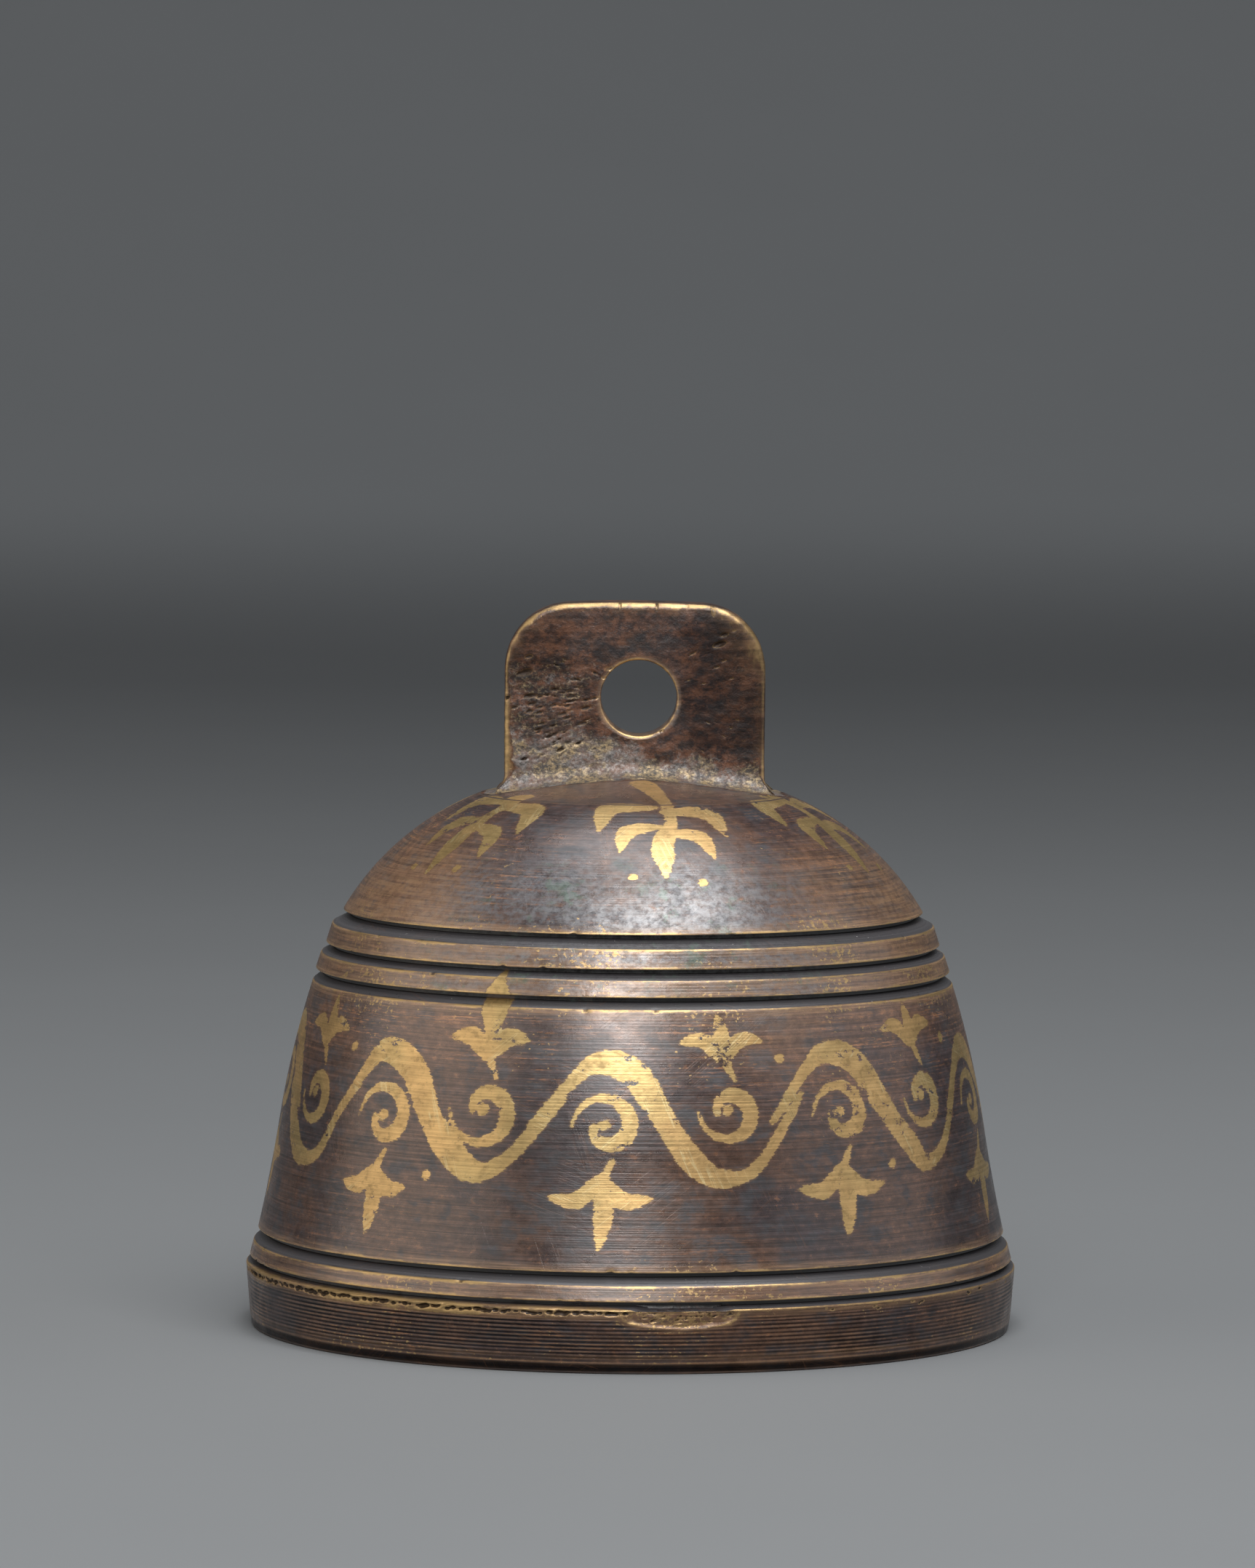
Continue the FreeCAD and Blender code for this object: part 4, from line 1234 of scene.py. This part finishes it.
def make_crown():
    """The crown's rows carried round. Beside the lug, lumps and sand grain lift them along their normals."""
    below, top = crown_rows()
    rows = np.vstack([below, top])
    on_top = np.arange(len(rows)) >= len(below)
    angles = np.arange(CROWN_COLUMNS) * 2 * np.pi / CROWN_COLUMNS
    points = around(rows, angles)
    normals = grid_normals(points, False)
    grain = clouds(points, GRAIN_CELL, GRAIN_SEED, 2)
    cast = near_lug(points) * on_top[:, None]
    hold = ramp(20.9, 20.3, rows[:, 0])[:, None] * cast
    lift = hold * (0.16 * clouds(points, 2.2, 70, 3) + 0.13 * grain)
    points = points + normals * lift[..., None]
    lengths = row_lengths(rows)
    dome_end = np.argmin(np.hypot(*(dome_form["rows"] - (CROWN_RADIUS, CROWN_EDGE)).T))
    start = dome_form["length"][dome_end] - GROOVE_DEPTH - lengths[len(below)]
    stroke = dome_strokes(angles, rows, start)
    marks = {"turn": lengths[:, None], "inside": 1.0 - on_top[:, None], "cast": cast, "grain": grain,
             "stroke": np.where(on_top[:, None], stroke, BARE)}
    poles = np.array([(0.0, 0.0, rows[0, 1]), (0.0, 0.0, points[-1, :, 2].mean())])
    dress_bell(grid_piece("bell_crown", points, marks, lengths, False, poles))


make_crown()

# %% [markdown]
# The lug is a plate with a hole, so its grid goes round the hole like a tyre: columns fan out
# from the hole, and rows run down the rim, in over the front, through the bore and out over
# the back. Below, both faces flare into the crown, as the founder's wax did. The rim is worn
# bright by the cord, its top is nicked, and one side of the face came out of the mould pitted.

# %% The lug
LUG_COLUMNS = 620
LUG_TOP = 98.9
LUG_ARCH = 0.8
LUG_CORNER = 9.0
LUG_RIM = 0.9
LUG_FLARE = 2.1
LUG_SINK = 0.8
HOLE_MIDDLE = (0.55, 85.9)
HOLE_RADIUS = 5.15
HOLE_EDGE = 0.35
HOLE_END = HOLE_RADIUS + HOLE_EDGE
RIM_BEND = 0.8
FACE_ROWS = 46
CLUSTER = (-11.5, 83.5)
BIG_PITS = ((11.5, 93.3, 1.1, 0.45), (12.1, 94.6, 0.7, 0.3), (7.8, 92.0, 0.5, 0.2), (-14.8, 89.3, 1.2, 0.3))
TOP_CHIPS = ((-2.1, 0.20, 0.12), (2.9, 0.22, 0.16), (10.6, 0.45, 0.12), (7.0, 0.22, 0.07))


def crown_height(radius):
    """Height of the crown's top at a radius."""
    top = crown_rows()[1][::-1]
    return np.interp(radius, top[:, 0], top[:, 1])


def foot_height(x):
    """Height of the crown's top under the lug's flared faces."""
    return crown_height(np.hypot(x, LUG_HALF_THICKNESS + 1.2))


def flare(height):
    """How far the foot has spread at a height over the crown: a quarter circle that ends flat."""
    short = np.clip(LUG_FLARE - height, 0.0, LUG_FLARE)
    return LUG_FLARE - np.sqrt(LUG_FLARE ** 2 - short ** 2)


def lug_outline():
    """Angle and distance of the outline from the hole's middle, and how much it belongs to the foot."""
    rise = np.linspace(0.0, LUG_FLARE, 40) ** 1.5 / LUG_FLARE ** 0.5
    side = LUG_HALF_WIDTH + flare(rise)
    foot = np.column_stack([side, crown_height(side) + rise])
    middle = (LUG_HALF_WIDTH - LUG_CORNER, LUG_TOP - 0.2 - LUG_CORNER)
    wall = np.column_stack([np.full(60, LUG_HALF_WIDTH), np.linspace(foot[-1, 1] + 0.2, middle[1], 60)])
    turn = np.radians(np.linspace(2.0, 87.0, 60))
    corner = np.column_stack([middle[0] + LUG_CORNER * np.cos(turn), middle[1] + LUG_CORNER * np.sin(turn)])
    end_x, end_z = corner[-1]
    across = np.linspace(end_x - 0.1, 0.0, 60)
    arch = np.column_stack([across, end_z + (LUG_TOP - end_z) * (1 - (across / end_x) ** 2)])
    right = np.vstack([foot, wall, corner, arch])
    left = right[::-1][1:] * (-1.0, 1.0)
    base_x = np.linspace(-side[0] + 0.1, side[0] - 0.1, 240)
    whole = np.vstack([right, left, np.column_stack([base_x, foot_height(base_x)])])
    is_foot = np.arange(len(whole)) >= len(right) + len(left)
    offset = whole - HOLE_MIDDLE
    angle = np.arctan2(offset[:, 1], offset[:, 0])
    order = np.argsort(angle)
    columns = (np.arange(LUG_COLUMNS) / LUG_COLUMNS * 2 - 1) * np.pi
    reach, foot_share = (np.interp(columns, angle[order], values[order], period=2 * np.pi)
                         for values in (np.hypot(*offset.T), is_foot.astype(float)))
    return columns, reach, foot_share


def lug_grid():
    """Points of the lug, and each one's distance from the rim and the hole, share of the foot and depth.

    A column is a direction from the hole's middle, and a point is the middle plus its distance times
    that direction, at its depth across the plate. Rounded edges are quarter circles by sine and cosine.
    The back's rows are the front's, mirrored and in reverse.
    """
    angle, reach, foot = lug_outline()
    spread = np.convolve(np.concatenate([foot[-4:], foot, foot[:4]]), np.ones(9) / 9, "valid")
    rim = LUG_RIM * (1 - spread) + 0.04 * spread
    way = np.stack([np.cos(angle), np.sin(angle)])
    rows = []

    def add_row(distance, depth, drop, from_rim):
        """A row's distance from the hole's middle, depth, drop into the crown and distance from the rim."""
        rows.append(np.broadcast_arrays(distance, -depth, drop, from_rim, reach)[:4])

    def place(distance):
        """Across and up at a distance from the hole's middle."""
        return HOLE_MIDDLE[0] + distance * way[0], HOLE_MIDDLE[1] + distance * way[1]

    def half_thickness(distance):
        """Half the lug's thickness, which flares towards the crown."""
        x, z = place(distance)
        return LUG_HALF_THICKNESS + flare(z - foot_height(x))

    side = half_thickness(reach) - rim
    for share in (0.0, 0.34, 0.67):
        add_row(reach, share * side, LUG_SINK * spread, LUG_RIM * RIM_BEND + (1 - share) * LUG_HALF_THICKNESS)
    for bend in np.radians(np.linspace(0.0, 80.0, 8)):
        drop = LUG_SINK * spread * (1 - bend / np.radians(90.0))
        inward, outward = rim * (1 - np.cos(bend)), rim * np.sin(bend)
        add_row(reach - inward, side + outward, drop, LUG_RIM * abs(bend - RIM_BEND))
    for k in range(FACE_ROWS):
        distance = HOLE_END + (reach - rim - HOLE_END) * (1 - (k / (FACE_ROWS - 1)) ** 1.7)
        from_rim = reach - rim - distance + LUG_RIM * (np.pi / 2 - RIM_BEND)
        add_row(distance, half_thickness(distance), 0.0, from_rim)
    across_face = reach - rim - HOLE_END
    for bend in np.radians((25.0, 50.0, 75.0)):
        inward, drawn_in = HOLE_EDGE * np.sin(bend), HOLE_EDGE * (1 - np.cos(bend))
        add_row(HOLE_END - inward, LUG_HALF_THICKNESS - drawn_in, 0.0, across_face)
    for share in (1.0, 0.75, 0.5, 0.25, 0.0):
        add_row(HOLE_RADIUS, share * (LUG_HALF_THICKNESS - HOLE_EDGE), 0.0, across_face)
    front = np.array(rows)
    back = front[1:-1][::-1] * np.array([1.0, -1.0, 1.0, 1.0])[:, None]
    distance, depth, drop, from_rim = np.concatenate([front, back]).transpose(1, 0, 2)
    x, z = place(distance)
    points = np.stack([x, depth, z - drop], axis=-1)
    return points, from_rim, distance - HOLE_END, spread[None], np.abs(depth)


def lug_pits(points, seed=31):
    """Depth of the pits of the casting: a cluster on the front's left half, fewer elsewhere, and chips."""
    rng = np.random.default_rng(seed)
    x, y, z = points[..., 0], points[..., 1], points[..., 2]
    spots = []
    for _ in range(70):
        pit_x, pit_z = CLUSTER[0] + rng.normal(0, 3.4), CLUSTER[1] + rng.normal(0, 4.0)
        spots.append((pit_x, -1.0, pit_z, rng.uniform(0.25, 0.85), rng.uniform(0.12, 0.34)))
    for _ in range(60):
        side = rng.choice((-1.0, 1.0))
        pit_x, pit_z = rng.uniform(-16, 16), rng.uniform(77, 96)
        spots.append((pit_x, side, pit_z, rng.uniform(0.2, 0.5), rng.uniform(0.05, 0.2)))
    spots += [(pit_x, -1.0, pit_z, size, deep) for pit_x, pit_z, size, deep in BIG_PITS]
    pits = np.zeros(points.shape[:2])
    for pit_x, side, pit_z, size, deep in spots:
        lean = 0.25 * (x - pit_x)
        q = ((x - pit_x) / size) ** 2 + ((z - pit_z - lean) / (0.45 * size)) ** 2
        pits = np.maximum(pits, deep * np.clip(1 - q, 0, None) ** 1.5 * ramp(2.7, 3.2, y * side))
    for chip_x, wide, deep in TOP_CHIPS:
        chip_z = LUG_TOP - (chip_x / LUG_HALF_WIDTH) ** 2 * LUG_ARCH - (0.6 if chip_x > 9 else 0.0)
        q = ((x - chip_x) / wide) ** 2 + ((z - chip_z) / 1.3) ** 2 + ((y + 3.1) / 1.6) ** 2
        pits = np.maximum(pits, deep * np.clip(1 - q, 0, None))
    return pits


def make_lug():
    """The lug's grid, lifted along its normals by lumps and grain and sunk by its pits.

    The rough share grows to the left and to the foot. Wear divides the distance from the rim, so the
    gold reaches farther in where the cord and hands rubbed more.
    """
    points, from_rim, from_hole, spread, depth = lug_grid()
    normals = grid_normals(points, True)
    x, z = points[..., 0], points[..., 2]
    on_face = (depth > LUG_HALF_THICKNESS - 0.3) & (from_hole > 0.0)
    lump = clouds(points, 3.4, 80, 3)
    left = ramp(3.0, -9.0, x + 3.0 * lump)
    low = ramp(81.8, 76.4, z + 1.6 * lump + 1.8 * ramp(0.0, 12.0, x))
    cast = np.clip(0.60 + 0.25 * left * ramp(95.0, 89.0, z) + 0.4 * low, 0.0, 1.0) * (from_hole > 0.0)
    grain = clouds(points, GRAIN_CELL, GRAIN_SEED, 2)
    hold = ramp(0.0, 1.2, from_hole) * np.where(on_face, 1.0, 0.5)
    lift = hold * (0.10 * lump + cast ** 2 * (0.10 * grain + 0.10 * clouds(points, 2.0, 82, 2)))
    pits = lug_pits(points)
    shaped = points + normals * (lift - pits)[..., None]
    shaped[..., 2] = np.minimum(shaped[..., 2], LUG_TOP)
    corner = ramp(10.0, 15.5, x) * ramp(87.0, 92.0, z) * ramp(99.0, 96.0, z)
    low_left = ramp(-12.0, -15.0, x) * ramp(83.0, 78.0, z)
    wear = 0.40 + 0.15 * ramp(92.0, 97.0, z) + 1.6 * corner + 0.6 * low_left
    wear = wear * (1.0 + 0.85 * clouds(shaped, 1.8, 84, 3))
    soot_right = ramp(3.0, 12.0, x + 2.5 * lump) * ramp(77.5, 80.5, z)
    soot_left = ramp(-6.0, -13.0, x + 4.0 * lump) * ramp(85.0, 90.0, z)
    soot = np.clip(soot_right + 0.6 * soot_left, 0.0, 1.0) * ramp(98.0, 94.5, z) * (from_hole > 0.0)
    rim_edge = 0.32 * from_rim / np.maximum(wear, 0.15) + 6.0 * ramp(0.3, 1.0, spread)
    hole_edge = np.abs(from_hole + 0.5 * HOLE_EDGE) / 0.6
    marks = {
        "turn": 0.3 * z,
        "edge": np.clip(np.minimum(rim_edge, hole_edge), 0.0, FAR_FROM_EDGE),
        "cast": cast * ramp(0.0, 0.5, rim_edge),
        "grain": grain,
        "pit": np.clip(pits / 0.28, 0.0, 1.0),
        "soot": soot,
    }
    dress_bell(grid_piece("bell_lug", shaped, marks, np.arange(len(points)) * 0.3))


make_lug()

# %% [markdown]
# The clapper hangs inside: a staple in the boss, a link, a rod with an eye and a brass ball on
# its end. Their CAD shapes are already the real ones, so they stay, and only get their metals:
# black forge scale with rust in the hollows, and turned brass that has gone dull.

# %% Metals of the clapper
SCALE_BLACK = (0.030, 0.028, 0.028)
SCALE_GREY = (0.085, 0.080, 0.078)
RUST = (0.150, 0.062, 0.030)
RUBBED_IRON = (0.320, 0.310, 0.300)
BALL_BRASS = (0.400, 0.270, 0.110)
BALL_DULL = (0.150, 0.100, 0.050)


def make_iron():
    """Forge scale, black to grey, with patches of rust and high spots rubbed bare."""
    paint = Paint("forged_iron")
    scale = paint.noise("spot", (0.5, 0.5, 0.5), 6.0, 0.65)
    fine = paint.noise("spot", (2.6, 2.6, 2.6), 5.0, 0.6)
    rust = paint.step(paint.noise("spot", (0.28, 0.28, 0.28), 5.0, 0.7), 0.52, 0.68, 0.0, 0.8)
    skin = paint.colour(paint.step(scale, 0.35, 0.65), SCALE_BLACK, SCALE_GREY)
    skin = paint.colour(rust, skin, RUST)
    rubbed = paint.step(fine, 0.66, 0.74, 0.0, 0.6)
    skin = paint.colour(rubbed, skin, RUBBED_IRON)
    bump = paint.bump(scale, 0.12)
    bump = paint.bump(fine, 0.05, bump)
    rough = paint.step(fine, 0.3, 0.7, 0.42, 0.68)
    return paint.finish(Base_Color=skin, Metallic=paint.value(rust, 0.85, 0.1), Roughness=rough, Normal=bump)


def make_ball_brass():
    """Brass that is dull in patches, with the lathe's lines round the axis and dark specks."""
    paint = Paint("turned_brass")
    dull = paint.noise("spot", (0.16, 0.16, 0.2), 5.0, 0.62)
    lines = paint.noise("spot", (0.06, 0.06, 4.2), 3.0, 0.6)
    skin = paint.colour(paint.step(dull, 0.40, 0.62), BALL_BRASS, BALL_DULL)
    skin = paint.shade(skin, paint.step(lines, 0.3, 0.7, 0.75, 1.2))
    specks = paint.noise("spot", (0.9, 0.9, 0.9), 4.0, 0.6)
    skin = paint.colour(paint.step(specks, 0.66, 0.74, 0.0, 0.8), skin, SOOT_AND_SHADOW)
    return paint.finish(Base_Color=skin, Metallic=paint.step(dull, 0.4, 0.62, 0.95, 0.6),
                        Roughness=paint.step(dull, 0.35, 0.65, 0.30, 0.50), Normal=paint.bump(lines, 0.02))


def repaint(node, material):
    """Every material slot of a CAD node gets one material."""
    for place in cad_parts[node].material_slots:
        place.material = material


iron, ball_brass = make_iron(), make_ball_brass()
for node in ("clapper_staple", "clapper_link", "clapper_rod"):
    repaint(node, iron)
repaint("clapper_ball", ball_brass)
print("clapper: iron and brass")

# %% [markdown]
# The bell stands on a sweep of grey paper: a floor that curves up into a backdrop, so no
# horizon cuts the view. The lights fall mostly on the floor, so the paper grows lighter over
# its first few centimetres of height, or the backdrop would sink into black.

# %% Floor and backdrop
FLOOR_COLOUR = (0.176, 0.185, 0.194)
WALL_LIGHTER = 1.85
WALL_FROM = 45.0
SWEEP_WIDTH = 6.0
SWEEP_FRONT = -3.0
SWEEP_BEND = 1.5
SWEEP_RADIUS = 1.2
SWEEP_TOP = 3.5


def make_sweep():
    """Floor, quarter circle and wall as one sheet."""
    bend = np.linspace(0.0, np.pi / 2, 25)
    line = np.vstack([
        np.column_stack([np.linspace(SWEEP_FRONT, SWEEP_BEND, 12)[:-1], np.zeros(11)]),
        np.column_stack([SWEEP_BEND + SWEEP_RADIUS * np.sin(bend), SWEEP_RADIUS * (1 - np.cos(bend))]),
        [(SWEEP_BEND + SWEEP_RADIUS, SWEEP_TOP)],
    ])
    points = [(side * SWEEP_WIDTH / 2, y, z) for y, z in line for side in (-1, 1)]
    faces = [(2 * k, 2 * k + 1, 2 * k + 3, 2 * k + 2) for k in range(len(line) - 1)]
    mesh = bpy.data.meshes.new("paper_sweep")
    mesh.from_pydata(points, [], faces)
    mesh.polygons.foreach_set("use_smooth", np.ones(len(faces), bool))
    return add_object("paper_sweep", mesh)


def make_paper():
    """Matt paper with a faint unevenness."""
    paint = Paint("pale_paper")
    cloudy = paint.noise("spot", (0.004, 0.004, 0.004), 4.0, 0.6)
    height = paint.add("SeparateXYZ", {0: "spot"}).outputs[2]
    tone = paint.shade(FLOOR_COLOUR, paint.step(height, 0.0, WALL_FROM, 1.0, WALL_LIGHTER))
    tone = paint.shade(tone, paint.step(cloudy, 0.3, 0.7, 0.985, 1.015))
    return paint.finish(Base_Color=tone, Roughness=0.75)


sweep = make_sweep()
sweep.data.materials.append(make_paper())
print("paper sweep:", len(sweep.data.polygons), "faces")

# %% [markdown]
# Polished brass shows its lights as reflections, so the size and place of a panel matter more
# than its strength. The key hangs above and in front and puts the broad sheen on the dome; the
# top one draws the upper edges. A smaller one, 30 degrees up in front, is for the bands. The
# left one is warm, and the weaker right one is cool, so that both flanks of the wall turn.

# %% Lights
LIGHTS = (
    ("key_panel", (0.22, -0.62, 1.10), (0.95, 0.80), 14.6, (1.0, 0.99, 0.97)),
    ("top_panel", (0.05, 0.12, 1.25), (0.90, 0.45), 5.0, (0.96, 0.98, 1.0)),
    ("front_panel", (-0.10, -1.42, 0.86), (0.60, 0.42), 9.0, (1.0, 0.99, 0.98)),
    ("left_panel", (-1.20, -0.35, 0.50), (1.6, 1.2), 5.8, (1.0, 0.94, 0.85)),
    ("right_panel", (1.20, -0.25, 0.50), (1.6, 1.2), 2.9, (0.95, 0.97, 1.0)),
)
WORLD_COLOUR = (0.085, 0.087, 0.091, 1.0)
BELL_MIDDLE = (0.0, 0.0, 0.05)


def add_panel(name, where, size, watts, colour):
    """A rectangular soft light that faces the middle of the bell."""
    light = bpy.data.lights.new(name, "AREA")
    light.shape = "RECTANGLE"
    light.size, light.size_y = size
    light.energy = watts
    light.color = colour
    panel = add_object(name, light)
    panel.location = where
    panel.visible_camera = False
    panel.rotation_euler = (Vector(where) - Vector(BELL_MIDDLE)).to_track_quat("Z", "Y").to_euler()


for row in LIGHTS:
    add_panel(*row)
world = bpy.data.worlds.new("studio")
world.use_nodes = True
world.node_tree.nodes["Background"].inputs["Color"].default_value = WORLD_COLOUR
world.node_tree.nodes["Background"].inputs["Strength"].default_value = 1.0
bpy.context.scene.world = world
bpy.context.scene.view_settings.view_transform = "Standard"
print("lights:", len(LIGHTS))

# %% [markdown]
